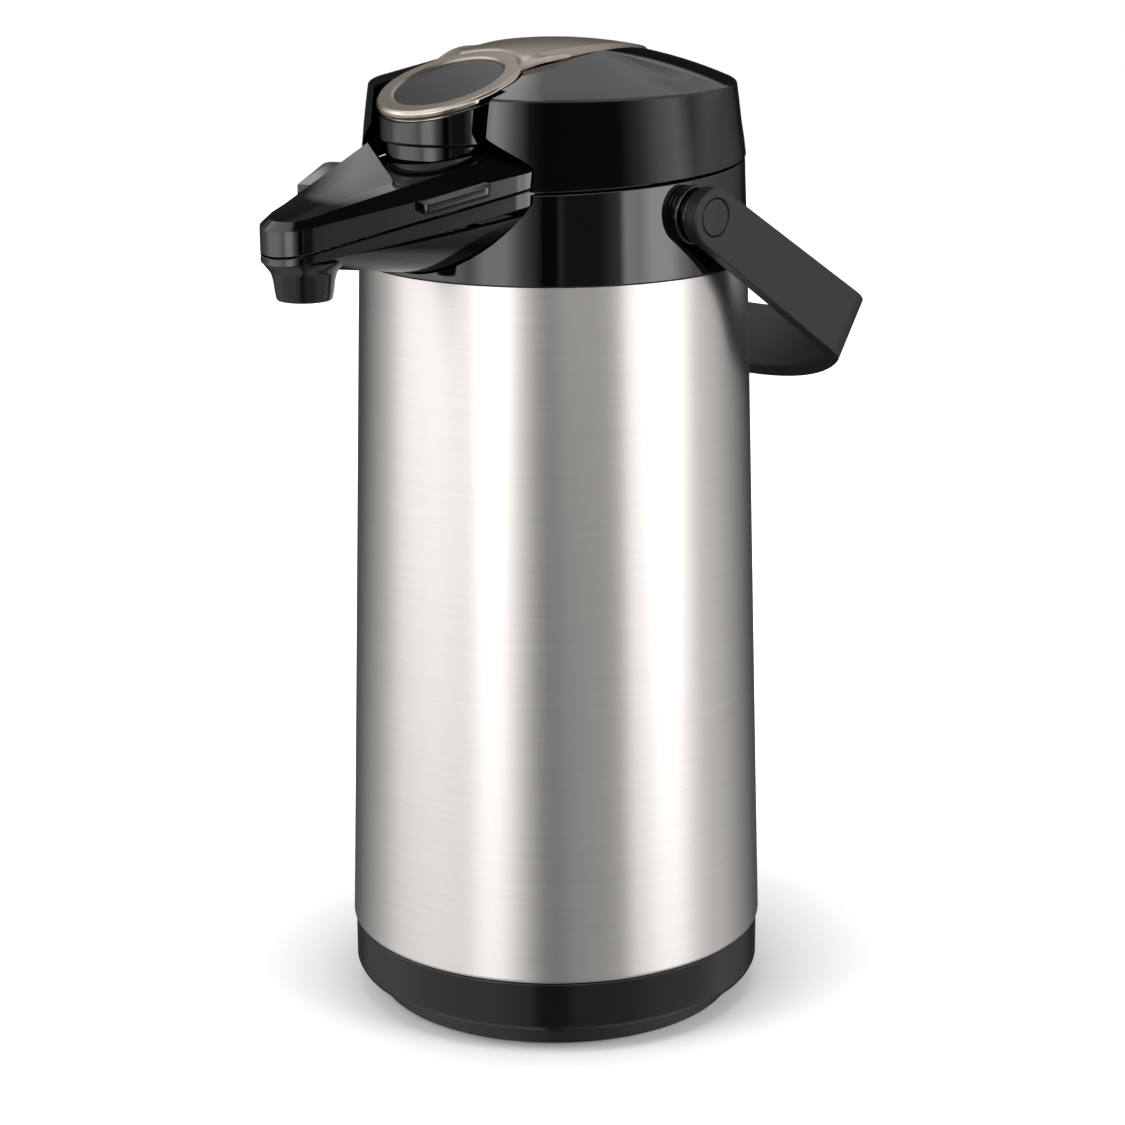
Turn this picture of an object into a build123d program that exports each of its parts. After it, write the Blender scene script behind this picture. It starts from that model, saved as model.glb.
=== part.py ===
from build123d import *
from math import cos, pi, radians, sin, tan
import os

os.makedirs("parts", exist_ok=True)

# Lever airpot, millimetres. The origin is the middle of the foot on the table, +Z is up,
# the spout points along -Y and the carrying handle pivots on the X axis line.

beyond = 500.0           # size of a block that only cuts: larger than the whole jug

# Clearances
fit_gap = 0.3            # between pieces that only lie beside each other
press_gap = 0.01         # a piece pressed or clipped into its seat
run_gap = 0.06           # radial, a pin in its hole
seam_gap = 0.9           # the dark line between lid and collar
cutout_gap = 0.6         # round the spout where it passes the lid and the collar

# Conical steel jacket
jacket_foot_r = 83.1
jacket_top_r = 75.3
jacket_low_z = 29.7
jacket_top_z = 299.8
jacket_wall = 0.8
hem_r = 1.6              # rolled lower edge
hem_height = 3.4
hem_depth = 2.4

# Moulded base and its turntable foot
base_inset = 0.9         # of the base behind the jacket's foot
base_r = jacket_foot_r - base_inset
base_crease_z = 9.7
base_low_z = 8.2
base_wall = 2.4
base_floor = 3.0
spigot_height = 10.0     # of the base inside the jacket
hub_r = 14.0
hub_hole_r = 9.0
foot_r = 72.4
foot_top_r = 74.6
foot_wall = 2.4
foot_pad_out_r = 69.5
foot_pad_in_r = 62.5
foot_pad_height = 2.0
foot_pad_proud = 0.6     # how far the rubber ring stands below the foot
hub_groove_r = 7.5
hub_head = 1.2           # of the hub above its clip
hub_clip_r = 12.4
hub_clip_height = 1.6
hub_clip_mouth = 10.0

# Vacuum flask
flask_r = 68.0
flask_low_z = 34.2
flask_wall = 0.8
vacuum_gap = 4.0
flask_shoulder_z = 256.0
heel_bevel = 10.0
neck_r = 36.0            # mouth of the flask
neck_top_z = 292.0
neck_skirt_z = 282.0
neck_vacuum = 2.2
cushion_out_r = 46.0
cushion_in_r = 24.0
gasket_height = 2.5
gasket_out_r = 41.5

# Collar and filling funnel
housing_r = 46.0         # the pump housing, which sits over the bowl
collar_low_z = 300.1
collar_foot_r = 75.4
collar_top_r = 73.5
collar_wall = 2.4
collar_spigot = 10.0
ledge_in_r = 62.0
ledge_thick = 3.1
seam_z = 336.0           # height of the lid seam on the axis
seam_slope = 0.045       # it climbs towards the back
funnel_r = 68.5
funnel_floor = 2.0
throat_r = 36.6
bowl_r = housing_r - 2.0
bowl_wall = 2.4
bowl_top_z = 317.5

# Lid
lid_foot_r = 74.2
rim_r = 70.5
rim_z = 366.8
crown_z = 382.4
lid_wall = 2.4
lever_mouth = 31.7       # half the opening for the lever, below the rim
spout_mouth = 47.4       # half the opening for the spout
mouth_step_z = 345.0
mouth_shoulder_z = 353.2
mouth_bevel_width = 2.2
mouth_bevel_height = 2.5
hinge_y = 78.5
hinge_z = 340.0
hinge_pin_r = 2.0
hinge_barrel_r = 4.6
hinge_half = 24.0
lid_knuckle_half = 13.0

# Spout, seen from above a round nose with two straight flanks
nozzle_y = -125.1
nose_r = 15.4
flank_angle = 23.8       # of each flank from the Y axis
spout_seam_z = 315.2     # at the front of the nose
spout_seam_slope = 0.2443
edge_z = 327.6           # upper edge of the upright band, beside the nozzle
roof_z = 330.6           # the flat roof over the nozzle axis
roof_slope = 0.256
roof_half = 12.0         # half the roof's width there
roof_spread = 0.361
spout_wall = 2.2
cover_back_y = -42.0
well_gap = 0.7
skirt_swing = 14.0       # how far back the skirt's well reaches
belly_nose_z = 308.6     # underside at the nozzle axis
belly_root_z = 302.4     # underside at the collar
belly_nose_r = 27.5      # radius of the cone that forms the underside, at the nozzle axis
belly_root_r = 44.0
tray_mouth_z = 301.6     # lowest point of the opening in the collar
tray_mouth_drop = 6.0    # from the lid seam to where that opening's sides turn round

# Nozzle and tubes
nozzle_root_r = 11.9
nozzle_tip_r = 10.3
nozzle_edge = 0.9        # bevel of the tip
nozzle_low_z = 298.4
nozzle_bore_r = 7.4
nozzle_neck_r = 9.4      # where it passes through the lower cover
nozzle_shadow = 0.8      # between the nozzle and the belly
nozzle_seat_z = 310.8    # inside the lower cover
nozzle_flange_r = 10.6
nozzle_flange = 0.9
belly_ahead = 25.0       # how far the belly's cone is carried past both ends
tube_r = 4.0
tube_bore_r = 2.8
tube_y = -26.0           # the riser stands in front of the axis
tube_back_z = 309.2      # the tube climbs from here to the nozzle
tube_front_z = 317.0
tube_bend_r = 8.0
tube_tip_z = 303.0
riser_low_z = 46.0
riser_top_z = 300.0
socket_r = 5.2
socket_length = 10.0
socket_stop = 1.0        # shoulder that the riser's end meets
grommet_proud = 1.6

# Lever, its disc and what it presses
pivot_y = 50.0
pivot_z = 368.3
strap_tip_y = 48.0
lever_pin_r = 1.5
lever_barrel_r = 3.4
lever_barrel_half = 6.8
disc_y = -54.0
disc_z = 370.9           # top of the ring at the middle of the disc
disc_tilt = 19.5
disc_r = 27.9
disc_thick = 4.6
badge_r = 20.9
badge_inset = 0.8
badge_thick = 1.2
skirt_r = 25.5
skirt_wall = 2.0
skirt_back_y = -58.0     # the skirt is open behind this, towards the pump
skirt_low_z = 349.5
skirt_lip_r = 23.2
skirt_lip_low_z = 343.5
strap_thick = 2.2
strap_proud = 0.5
strap_clear = 34.0       # behind the disc's middle, where the strap may hang lower than the disc
lug_gap = 0.5            # beside the lever's barrel
bracket_thick = 3.0      # lug that holds the lever's pin
bracket_r = 4.5
lever_gap = 0.9          # round the lever in the lid
arm_half = 9.0
pump_y = 0.0
press_rib_r = 4.0
press_rib_z = 362.3
press_rib_half = 8.0

# Pump in the lid
housing_wall = 2.0
housing_floor_z = 320.3
housing_floor = 2.0
housing_top_z = 340.4
housing_flange = 2.0
housing_flange_r = 70.9
housing_front = 0.5      # the flange ends this far behind the disc's middle
plate_r = housing_r - 7.0
plate_thick = 2.4
plate_low_z = 343.0
post_r = 6.0
bellows_out_r = housing_r - housing_wall - 3.0
bellows_valley_r = bellows_out_r - 5.5
bellows_in_r = bellows_valley_r - 1.2
bellows_folds = 3
spring_r = 14.0
spring_wire_r = 0.75
spring_turns = 4
runs_per_turn = 12
valve_r = 19.0           # rubber flap under the air holes
valve_thick = 1.2
valve_hole_ring_r = 16.0
valve_hole_r = 2.2
seal_out_r = housing_r + 2.2
seal_in_r = housing_r - 3.4
seal_low_z = 317.8
seal_lap = 1.2           # up round the housing

# Latch tabs on the flanks of the spout
tab_front_y = -96.0
tab_length = 26.0
tab_height = 4.1
tab_reach = 6.6          # how far a tab stands out of the flank
tab_above_seam = 3.0
tab_plate = 1.8
tab_travel = 2.2

# Carrying handle
handle_z = 323.1
ear_r = 12.4
ear_face_x = 77.0
bush_r = 11.2
bush_face_x = 79.2
arm_in_x = 79.6
arm_out_x = 85.2
handle_pin_r = 4.0
handle_cap_r = 7.2
handle_cap_depth = 2.6
handle_droop = 33.0      # below level, towards the back
boss_r = 10.9
arm_end_half = 13.2
arm_length = 97.6
bow_depth = 26.0         # how far the grip stands out beyond the arms
grip_thick = 5.6
handle_corner_r = 14.0


def turn(curves):
    """A solid turned about Z from an outline drawn as (radius, height)."""
    return revolve(Plane.XZ * make_face(curves), Axis.Z)


def turned(*points):
    """A solid turned about Z from straight-sided corners (radius, height)."""
    return turn(Polyline(*points, close=True))


def rod(radius, start, end):
    """A round rod between two points."""
    path = Vector(*end) - Vector(*start)
    return Plane(start, z_dir=path) * extrude(Circle(radius), path.length)


def both(piece):
    """The piece and its mirror image across the YZ plane."""
    return piece + mirror(piece, Plane.YZ)


def half_space(point, along, across, sunk=0.0):
    """Everything under the plane through a point that holds two directions; along x across points up."""
    up = Vector(*along).cross(Vector(*across))
    return Plane(point, x_dir=along, z_dir=up) * Pos(0, 0, -beyond / 2 - sunk) * Box(beyond, beyond, beyond)


def in_front_of(y):
    """Everything on the spout's side of a place along Y."""
    return Pos(0, y - beyond / 2, 0) * Box(beyond, beyond, 2 * beyond)


def behind(y):
    """Everything on the hinge's side of a place along Y."""
    return Pos(0, y + beyond / 2, 0) * Box(beyond, beyond, 2 * beyond)


def below(z, slope):
    """Everything under a plane through height z on the axis, rising with Y by the slope."""
    return half_space((0, 0, z), (1, 0, 0), (0, 1, slope))


def above(z, slope):
    """Everything over that plane."""
    return half_space((0, 0, z), (0, 1, slope), (1, 0, 0))


def column(radius):
    """A tall cylinder on the jug's axis."""
    return extrude(Circle(radius), beyond)


def keep_largest(piece):
    """The biggest solid of a piece, without the slivers that a cut leaves."""
    return Part() + max(piece.solids(), key=lambda solid: solid.volume)


def jacket_r(z):
    """Outer radius of the jacket at a height."""
    share = (z - jacket_low_z) / (jacket_top_z - jacket_low_z)
    return jacket_foot_r + (jacket_top_r - jacket_foot_r) * share


def make_steel_jacket():
    """Rolled cone of thin sheet whose lower edge is turned in."""
    hem_z = jacket_low_z + hem_r
    hem_top = jacket_low_z + hem_height
    hem_in_r = jacket_foot_r - hem_depth
    return turned(
        (jacket_top_r, jacket_top_z),
        (jacket_r(hem_z), hem_z),
        (jacket_foot_r - hem_r, jacket_low_z),
        (hem_in_r, jacket_low_z),
        (hem_in_r, hem_top),
        (jacket_r(hem_top) - jacket_wall, hem_top),
        (jacket_top_r - jacket_wall, jacket_top_z),
    )


spigot_r = jacket_foot_r - hem_depth - fit_gap
base_top_z = jacket_low_z - fit_gap
base_floor_z = base_low_z + base_floor


def make_base_band():
    inner = spigot_r - base_wall
    return turned(
        (hub_hole_r, base_low_z),
        (base_r - 2.6, base_low_z),
        (base_r - 1.1, base_crease_z - 0.4),
        (base_r - 0.5, base_crease_z),
        (base_r, base_crease_z + 1.2),
        (base_r, base_top_z),
        (spigot_r, base_top_z),
        (spigot_r, jacket_low_z + spigot_height),
        (inner, jacket_low_z + spigot_height),
        (inner, base_floor_z),
        (hub_r, base_floor_z),
        (hub_hole_r, base_floor_z),
    )


foot_plate_z = base_low_z - fit_gap


def make_swivel_foot():
    """Shallow dish that turns on a hub under the base."""
    dish = turned(
        (0, foot_plate_z - foot_wall),
        (foot_pad_in_r, foot_plate_z - foot_wall),
        (foot_pad_in_r, foot_pad_height),
        (foot_pad_out_r, foot_pad_height),
        (foot_pad_out_r, foot_pad_proud),
        (foot_r, foot_pad_proud),
        (foot_top_r, foot_plate_z),
        (0, foot_plate_z),
    )
    clip_low = base_floor_z + fit_gap
    clip_top = clip_low + hub_clip_height
    hub_top = clip_top + hub_head
    hub = turned(
        (0, foot_plate_z),
        (hub_hole_r - fit_gap, foot_plate_z),
        (hub_hole_r - fit_gap, clip_low),
        (hub_groove_r, clip_low),
        (hub_groove_r, clip_top),
        (hub_hole_r - fit_gap, clip_top),
        (hub_hole_r - fit_gap, hub_top),
        (0, hub_top),
    )
    return dish + hub


def make_foot_pad_ring():
    """Rubber ring in the groove under the foot."""
    return turned(
        (foot_pad_in_r + press_gap, 0),
        (foot_pad_out_r - press_gap, 0),
        (foot_pad_out_r - press_gap, foot_pad_height),
        (foot_pad_in_r + press_gap, foot_pad_height),
    )


def make_hub_clip():
    """Spring clip that holds the hub in the floor of the base."""
    low = base_floor_z + fit_gap
    ring = turned(
        (hub_groove_r + press_gap, low),
        (hub_clip_r, low),
        (hub_clip_r, low + hub_clip_height),
        (hub_groove_r + press_gap, low + hub_clip_height),
    )
    mouth = Box(hub_clip_mouth, hub_clip_r, hub_clip_height * 2)
    return ring - Pos(0, hub_clip_r, low + hub_clip_height / 2) * mouth


def bottle_form(radius, neck, low, top, shoulder):
    """Filled bottle: bevelled heel, straight side, sloping shoulder and straight neck."""
    return turned(
        (0, low),
        (radius - heel_bevel, low),
        (radius, low + heel_bevel),
        (radius, shoulder),
        (neck, neck_skirt_z),
        (neck, top),
        (0, top),
    )


def bottle(radius, neck, low, top, shoulder):
    """One thin wall of the flask."""
    inner = bottle_form(radius - flask_wall, neck - flask_wall, low + flask_wall, top + 5, shoulder)
    return bottle_form(radius, neck, low, top, shoulder) - inner


def make_flask_outer_wall():
    neck = neck_r + flask_wall + neck_vacuum + flask_wall
    return bottle(flask_r, neck, flask_low_z, neck_top_z - flask_wall, flask_shoulder_z)


def make_flask_inner_wall():
    inset = vacuum_gap + flask_wall
    wall = bottle(
        flask_r - inset, neck_r + flask_wall, flask_low_z + inset, neck_top_z - flask_wall,
        flask_shoulder_z - 3,
    )
    lip = turned(
        (neck_r, neck_top_z - flask_wall),
        (neck_r + 2 * flask_wall + neck_vacuum, neck_top_z - flask_wall),
        (neck_r + 2 * flask_wall + neck_vacuum, neck_top_z),
        (neck_r, neck_top_z),
    )
    return wall + lip


def make_flask_cushion():
    """Rubber block between the base and the bottom of the flask."""
    return turned(
        (cushion_in_r, base_floor_z),
        (cushion_out_r, base_floor_z),
        (cushion_out_r, flask_low_z),
        (cushion_in_r, flask_low_z),
    )


funnel_foot_z = neck_top_z + gasket_height
funnel_floor_z = collar_low_z + ledge_thick


def make_neck_gasket():
    return turned(
        (neck_r + 0.5, neck_top_z),
        (gasket_out_r, neck_top_z),
        (gasket_out_r, funnel_foot_z),
        (neck_r + 0.5, funnel_foot_z),
    )


def spout_plan(inset=0.0, reach=-40.0):
    """Outline of the spout from above: nose arc about the nozzle and two flanks, back to Y = reach."""
    radius = nose_r - inset
    angle = radians(flank_angle)
    touch_x = radius * cos(angle)
    touch_y = nozzle_y - radius * sin(angle)
    root_x = touch_x + (reach - touch_y) * tan(angle)
    flank = Line((touch_x, touch_y), (root_x, reach))
    back = Line((root_x, reach), (-root_x, reach))
    return make_face([
        ThreePointArc((-touch_x, touch_y), (0, nozzle_y - radius), (touch_x, touch_y)),
        flank,
        back,
        Line((-root_x, reach), (-touch_x, touch_y)),
    ])


def flank_x(y):
    """Half the spout's width at a place along it."""
    angle = radians(flank_angle)
    return nose_r * cos(angle) + (y - nozzle_y + nose_r * sin(angle)) * tan(angle)


def spout_seam(y):
    return spout_seam_z + spout_seam_slope * (y - nozzle_y + nose_r)


def tray_mouth(gap=0.0):
    """The rounded opening in the collar that the lower spout cover fills, as a prism along -Y."""
    half = spout_mouth - gap
    low = tray_mouth_z + gap
    side = seam_z - tray_mouth_drop
    high = seam_z + 20
    arc = ThreePointArc((-half, 0, side), (0, 0, low), (half, 0, side))
    sides = Polyline((half, 0, side), (half, 0, high), (-half, 0, high), (-half, 0, side))
    return extrude(make_face([arc, sides]), beyond, dir=(0, -1, 0))


def hinge_barrel(x0, x1):
    return rod(hinge_barrel_r, (x0, hinge_y, hinge_z), (x1, hinge_y, hinge_z))


def hinge_bore(x0, x1):
    return rod(hinge_pin_r + run_gap, (x0, hinge_y, hinge_z), (x1, hinge_y, hinge_z))


def make_collar():
    top = seam_z + 12
    slope = (collar_foot_r - collar_top_r) / (seam_z - collar_low_z)
    top_r = collar_foot_r - slope * (top - collar_low_z)
    in_r = collar_top_r - collar_wall
    spigot_out = jacket_top_r - jacket_wall - fit_gap
    ring = turned(
        (ledge_in_r, collar_low_z),
        (spigot_out - collar_wall, collar_low_z),
        (spigot_out - collar_wall, collar_low_z - collar_spigot),
        (spigot_out, collar_low_z - collar_spigot),
        (spigot_out, collar_low_z),
        (collar_foot_r, collar_low_z),
        (top_r, top),
        (in_r, top),
        (in_r, funnel_floor_z),
        (ledge_in_r, funnel_floor_z),
    )
    ear = rod(ear_r, (in_r - 1, 0, handle_z), (ear_face_x, 0, handle_z))
    ear -= Pos(0, 0, handle_z) * Cylinder(in_r - 0.01, 60)
    ring += both(ear)
    ring -= both(rod(handle_pin_r, (in_r - 5, 0, handle_z), (ear_face_x + 5, 0, handle_z)))
    ring &= below(seam_z - seam_gap / 2, seam_slope)
    ring -= tray_mouth()
    lug = hinge_barrel(lid_knuckle_half + fit_gap, hinge_half)
    web_low = hinge_z - 17
    web = Pos((lid_knuckle_half + fit_gap + hinge_half) / 2, 0, 0) * extrude(
        make_face(Polyline(
            (0, collar_top_r - 1.2, web_low),
            (0, hinge_y + hinge_barrel_r, hinge_z),
            (0, hinge_y, hinge_z),
            (0, collar_top_r - 1.2, hinge_z - 3.5),
            close=True,
        )),
        (hinge_half - lid_knuckle_half - fit_gap) / 2, dir=(1, 0, 0), both=True,
    )
    lug += web
    lug -= hinge_bore(0, hinge_half + 1)
    lug -= column(in_r)
    return ring + both(lug)


def make_funnel():
    """Filling bowl that carries the tube and seals against the pump."""
    body = turned(
        (throat_r, funnel_foot_z),
        (gasket_out_r, funnel_foot_z),
        (gasket_out_r, funnel_floor_z),
        (funnel_r, funnel_floor_z),
        (funnel_r, funnel_floor_z + funnel_floor),
        (bowl_r + bowl_wall, funnel_floor_z + funnel_floor),
        (bowl_r + bowl_wall, bowl_top_z),
        (bowl_r, bowl_top_z),
        (bowl_r, funnel_floor_z + funnel_floor),
        (throat_r, funnel_floor_z + funnel_floor),
    )
    return body - along_tube(socket_r + 0.02, -30, -60)


def make_tube_grommet():
    """Soft bush where the tube leaves the bowl."""
    middle = -bowl_r - bowl_wall / 2
    half = bowl_wall / 2 + grommet_proud
    body = along_tube(socket_r, middle + half, middle - half)
    return body - along_tube(tube_r + 0.02, middle + half + 2, middle - half - 2)


def belly(gain=0.0):
    """The cone that rounds the underside of the spout, grown by a distance."""
    root_y = -collar_foot_r
    low_line = Vector(0, root_y - nozzle_y, belly_root_z + belly_root_r - belly_nose_z - belly_nose_r)
    spread = (belly_root_r - belly_nose_r) / low_line.length
    start = Vector(0, nozzle_y, belly_nose_z + belly_nose_r) - low_line.normalized() * belly_ahead
    length = low_line.length + 2 * belly_ahead
    first = belly_nose_r + gain - spread * belly_ahead
    frustum = Cone(first, first + spread * length, length, align=(Align.CENTER, Align.CENTER, Align.MIN))
    return Plane(start, x_dir=(1, 0, 0), z_dir=low_line) * frustum


def make_lower_spout_cover():
    """Tray under the spout: upright flanks to the seam, and a rounded belly with the nozzle's hole."""
    plan = extrude(spout_plan(), beyond)
    inside = extrude(spout_plan(spout_wall, -30), beyond)
    body = (plan & belly()) - (inside & belly(-spout_wall))
    body -= above(spout_seam(0) - seam_gap / 2, spout_seam_slope)
    body -= rod(nozzle_neck_r + press_gap, (0, nozzle_y, 0), (0, nozzle_y, beyond))
    body -= rod(nozzle_flange_r + fit_gap, (0, nozzle_y, nozzle_seat_z), (0, nozzle_y, beyond))
    outside = body - column(collar_foot_r + fit_gap)
    throat = body & column(collar_foot_r + fit_gap) & tray_mouth(cutout_gap)
    throat -= column(collar_top_r - collar_wall + fit_gap)
    return keep_largest(outside + throat)


def make_nozzle():
    """Tapered outlet whose neck is clipped through the belly of the lower cover."""
    body = turned(
        (nozzle_bore_r, nozzle_low_z),
        (nozzle_tip_r - nozzle_edge, nozzle_low_z),
        (nozzle_tip_r, nozzle_low_z + nozzle_edge),
        (nozzle_root_r, belly_nose_z - nozzle_shadow),
        (nozzle_neck_r, belly_nose_z - nozzle_shadow),
        (nozzle_neck_r, nozzle_seat_z + fit_gap),
        (nozzle_flange_r, nozzle_seat_z + fit_gap),
        (nozzle_flange_r, nozzle_seat_z + fit_gap + nozzle_flange),
        (nozzle_bore_r, nozzle_seat_z + fit_gap + nozzle_flange),
    )
    return Pos(0, nozzle_y, 0) * body


def tube_path():
    """Middle line of the bent tube."""
    return FilletPolyline(
        (0, tube_y, riser_top_z),
        (0, tube_y, tube_back_z),
        (0, nozzle_y, tube_front_z),
        (0, nozzle_y, tube_tip_z),
        radius=tube_bend_r,
    )


def along_tube(radius, from_y, to_y):
    """A rod on the tube's sloping run."""
    slope = (tube_front_z - tube_back_z) / (nozzle_y - tube_y)
    ends = [(0, y, tube_back_z + slope * (y - tube_y)) for y in (from_y, to_y)]
    return rod(radius, *ends)


def make_discharge_tube():
    """Plastic tube from the riser up over the bowl and down into the nozzle, with a socket for the riser."""
    path = tube_path()
    start = Plane(path @ 0, z_dir=path % 0)
    outer = sweep(start * Circle(tube_r), path)
    bore = sweep(start * Circle(tube_bore_r), path)
    socket_low_z = riser_top_z - socket_length
    socket = rod(socket_r, (0, tube_y, socket_low_z), (0, tube_y, riser_top_z))
    socket -= rod(tube_r + press_gap, (0, tube_y, socket_low_z), (0, tube_y, riser_top_z - socket_stop))
    socket -= rod(tube_bore_r, (0, tube_y, socket_low_z), (0, tube_y, riser_top_z))
    return (outer - bore) + socket


def make_riser_tube():
    low = (0, tube_y, riser_low_z)
    high = (0, tube_y, riser_top_z - socket_stop)
    tube = rod(tube_r, low, high) - rod(tube_bore_r, low, high)
    slot = Pos(0, tube_y, riser_low_z) * Box(2.4, tube_r * 3, 8)
    return tube - slot


def make_tube_holder():
    """Ring snapped into the throat, with an eye that holds the tube upright."""
    low = funnel_foot_z + 1.5
    out_r = throat_r - 0.2
    ring = turned((out_r - 3, low), (out_r, low), (out_r, low + 2), (out_r - 3, low + 2))
    eye = Pos(0, tube_y, low) * extrude(Circle(socket_r + 2.2), 2)
    bridge = Pos(0, tube_y - 5, low + 1) * Box(9, 8, 2)
    hole = Pos(0, tube_y, low - 1) * extrude(Circle(socket_r + 0.1), 5)
    return ((ring + eye + bridge) - hole) & column(out_r)


def make_pivot_bushes():
    bush = rod(bush_r, (ear_face_x, 0, handle_z), (bush_face_x, 0, handle_z))
    return both(bush - rod(handle_pin_r, (ear_face_x - 1, 0, handle_z), (bush_face_x + 1, 0, handle_z)))


def make_handle_pins():
    in_x = collar_top_r - collar_wall
    seat_x = arm_out_x - handle_cap_depth
    pin = rod(handle_pin_r - press_gap, (in_x + 0.2, 0, handle_z), (seat_x + 0.5, 0, handle_z))
    cap = rod(handle_cap_r, (seat_x + fit_gap, 0, handle_z), (arm_out_x + 0.1, 0, handle_z))
    return both(pin + cap)


def make_hinge_pin():
    return rod(hinge_pin_r, (-hinge_half, hinge_y, hinge_z), (hinge_half, hinge_y, hinge_z))


def handle_plane():
    """The handle's own frame: X across, Y out along the arms, Z square to them."""
    droop = radians(handle_droop)
    return Plane((0, 0, handle_z), x_dir=(1, 0, 0), z_dir=(0, sin(droop), cos(droop)))


def make_handle():
    """Flat strap bent to a bail: two arms and a grip that bows outwards."""
    half = arm_out_x
    inner = arm_in_x
    shoulder = arm_length - 3
    outer_edge = [
        Line((half, -boss_r - 1), (half, shoulder)),
        ThreePointArc((half, shoulder), (0, arm_length + bow_depth + grip_thick + 4.5), (-half, shoulder)),
        Line((-half, shoulder), (-half, -boss_r - 1)),
    ]
    inner_edge = [
        Line((-half, -boss_r - 1), (-inner, -boss_r - 1)),
        Line((-inner, -boss_r - 1), (-inner, shoulder - 2)),
        ThreePointArc((-inner, shoulder - 2), (0, arm_length + bow_depth), (inner, shoulder - 2)),
        Line((inner, shoulder - 2), (inner, -boss_r - 1)),
        Line((inner, -boss_r - 1), (half, -boss_r - 1)),
    ]
    outline = make_face(outer_edge + inner_edge)
    corners = [v for v in outline.vertices() if abs(v.Y - shoulder) < 3]
    band = extrude(fillet(corners, handle_corner_r), 40, both=True)
    far = arm_length + bow_depth + 20
    side = make_face(
        Polyline((0, 0, boss_r), (0, arm_length, arm_end_half), (0, far, arm_end_half + 1.2),
                 (0, far, -arm_end_half - 1.2), (0, arm_length, -arm_end_half), (0, 0, -boss_r), close=True)
    )
    strap = extrude(side, beyond, dir=(1, 0, 0), both=True)
    strap += rod(boss_r, (-beyond, 0, 0), (beyond, 0, 0))
    bail = band & strap
    bail -= rod(handle_pin_r + run_gap, (-beyond, 0, 0), (beyond, 0, 0))
    cap_seat = rod(handle_cap_r + fit_gap, (half - handle_cap_depth, 0, 0), (half + 5, 0, 0))
    bail -= both(cap_seat)
    return handle_plane() * bail


def dome(gain=0.0):
    """The lid's outer form as a filled solid, grown by a distance."""
    rise = crown_z - rim_z
    ball_r = (rim_r ** 2 + rise ** 2) / (2 * rise)
    slope = (lid_foot_r - rim_r) / (rim_z - seam_z)
    low = seam_z - 12
    top = crown_z + 8
    skirt = turned(
        (0, low),
        (lid_foot_r + gain + slope * (seam_z - low), low),
        (rim_r + gain - slope * (top - rim_z), top),
        (0, top),
    )
    crown = Pos(0, 0, crown_z - ball_r) * Rot(0, 90, 0) * Sphere(ball_r + gain)
    return skirt & crown


def strap_plan(gap=0.0):
    """The leaf-shaped strap of the lever from above."""
    waist_y = disc_y + 16
    tip_y = strap_tip_y + gap
    right = Spline((22 + gap, waist_y), (26.5 + gap, -12), (23.5 + gap, 10), (14 + gap, 34), (4, tip_y))
    left = Spline((-4, tip_y), (-14 - gap, 34), (-23.5 - gap, 10), (-26.5 - gap, -12), (-22 - gap, waist_y))
    return make_face([right, Line((4, tip_y), (-4, tip_y)), left, Line(left @ 1, right @ 0)])


def lever_plan(gap=0.0):
    """The whole lever from above, its disc and its strap."""
    return Pos(0, disc_y) * Circle(disc_r + gap) + strap_plan(gap)


def mouth_prism(gap=0.0):
    """Front opening of the lid: wide round the spout, narrower round the lever."""
    wide = spout_mouth - gap
    narrow = lever_mouth - gap
    right = [
        (wide, 0, 0),
        (wide, 0, mouth_step_z - mouth_bevel_height),
        (wide - mouth_bevel_width, 0, mouth_step_z - gap),
        (narrow, 0, mouth_shoulder_z - gap),
        (narrow, 0, beyond),
    ]
    left = [(-x, y, z) for x, y, z in reversed(right)]
    return extrude(make_face(Polyline(*(right + left), close=True)), beyond, dir=(0, -1, 0))


def make_lid_shell():
    shell = dome() - dome(-lid_wall)
    shell -= below(seam_z + seam_gap / 2, seam_slope)
    front = in_front_of(disc_y)
    shell -= mouth_prism() & front
    for side in (-1, 1):
        shell += Pos(side * (lever_barrel_half + lug_gap + bracket_thick / 2), pivot_y, 0) * lever_bracket()
    shell -= Pos(0, 0, pivot_z + 3) * extrude(lever_plan(lever_gap), 60)
    shell -= Pos(0, disc_y, rim_z - 12) * extrude(Circle(disc_r + lever_gap), 60)
    shell -= rod(lever_mouth, (0, disc_y, rim_z - 12), (0, disc_y, crown_z + 9)) & front
    knuckle = hinge_barrel(-lid_knuckle_half, lid_knuckle_half)
    web = extrude(
        make_face(Polyline(
            (0, lid_foot_r - 1.6, hinge_z + 2.2),
            (0, hinge_y, hinge_z),
            (0, hinge_y + hinge_barrel_r, hinge_z),
            (0, lid_foot_r - 2.4, hinge_z + 16),
            close=True,
        )),
        lid_knuckle_half, dir=(1, 0, 0), both=True,
    )
    knuckle += web
    knuckle -= hinge_bore(-hinge_half, hinge_half)
    knuckle -= dome(-0.8)
    shell += knuckle
    return shell


def lever_bracket():
    """Lug under the dome that holds one end of the lever's pin."""
    half = bracket_thick / 2
    lug = Pos(0, 0, (pivot_z + crown_z) / 2) * Box(bracket_thick, 2 * bracket_r, crown_z - pivot_z)
    lug += rod(bracket_r, (-half, 0, pivot_z), (half, 0, pivot_z))
    lug -= rod(lever_pin_r, (-bracket_thick, 0, pivot_z), (bracket_thick, 0, pivot_z))
    return lug & Pos(0, -pivot_y, 0) * dome(-1.0)


def make_lever_pin():
    half = lever_barrel_half + lug_gap + bracket_thick
    return rod(lever_pin_r - 0.01, (-half, pivot_y, pivot_z), (half, pivot_y, pivot_z))


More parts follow.
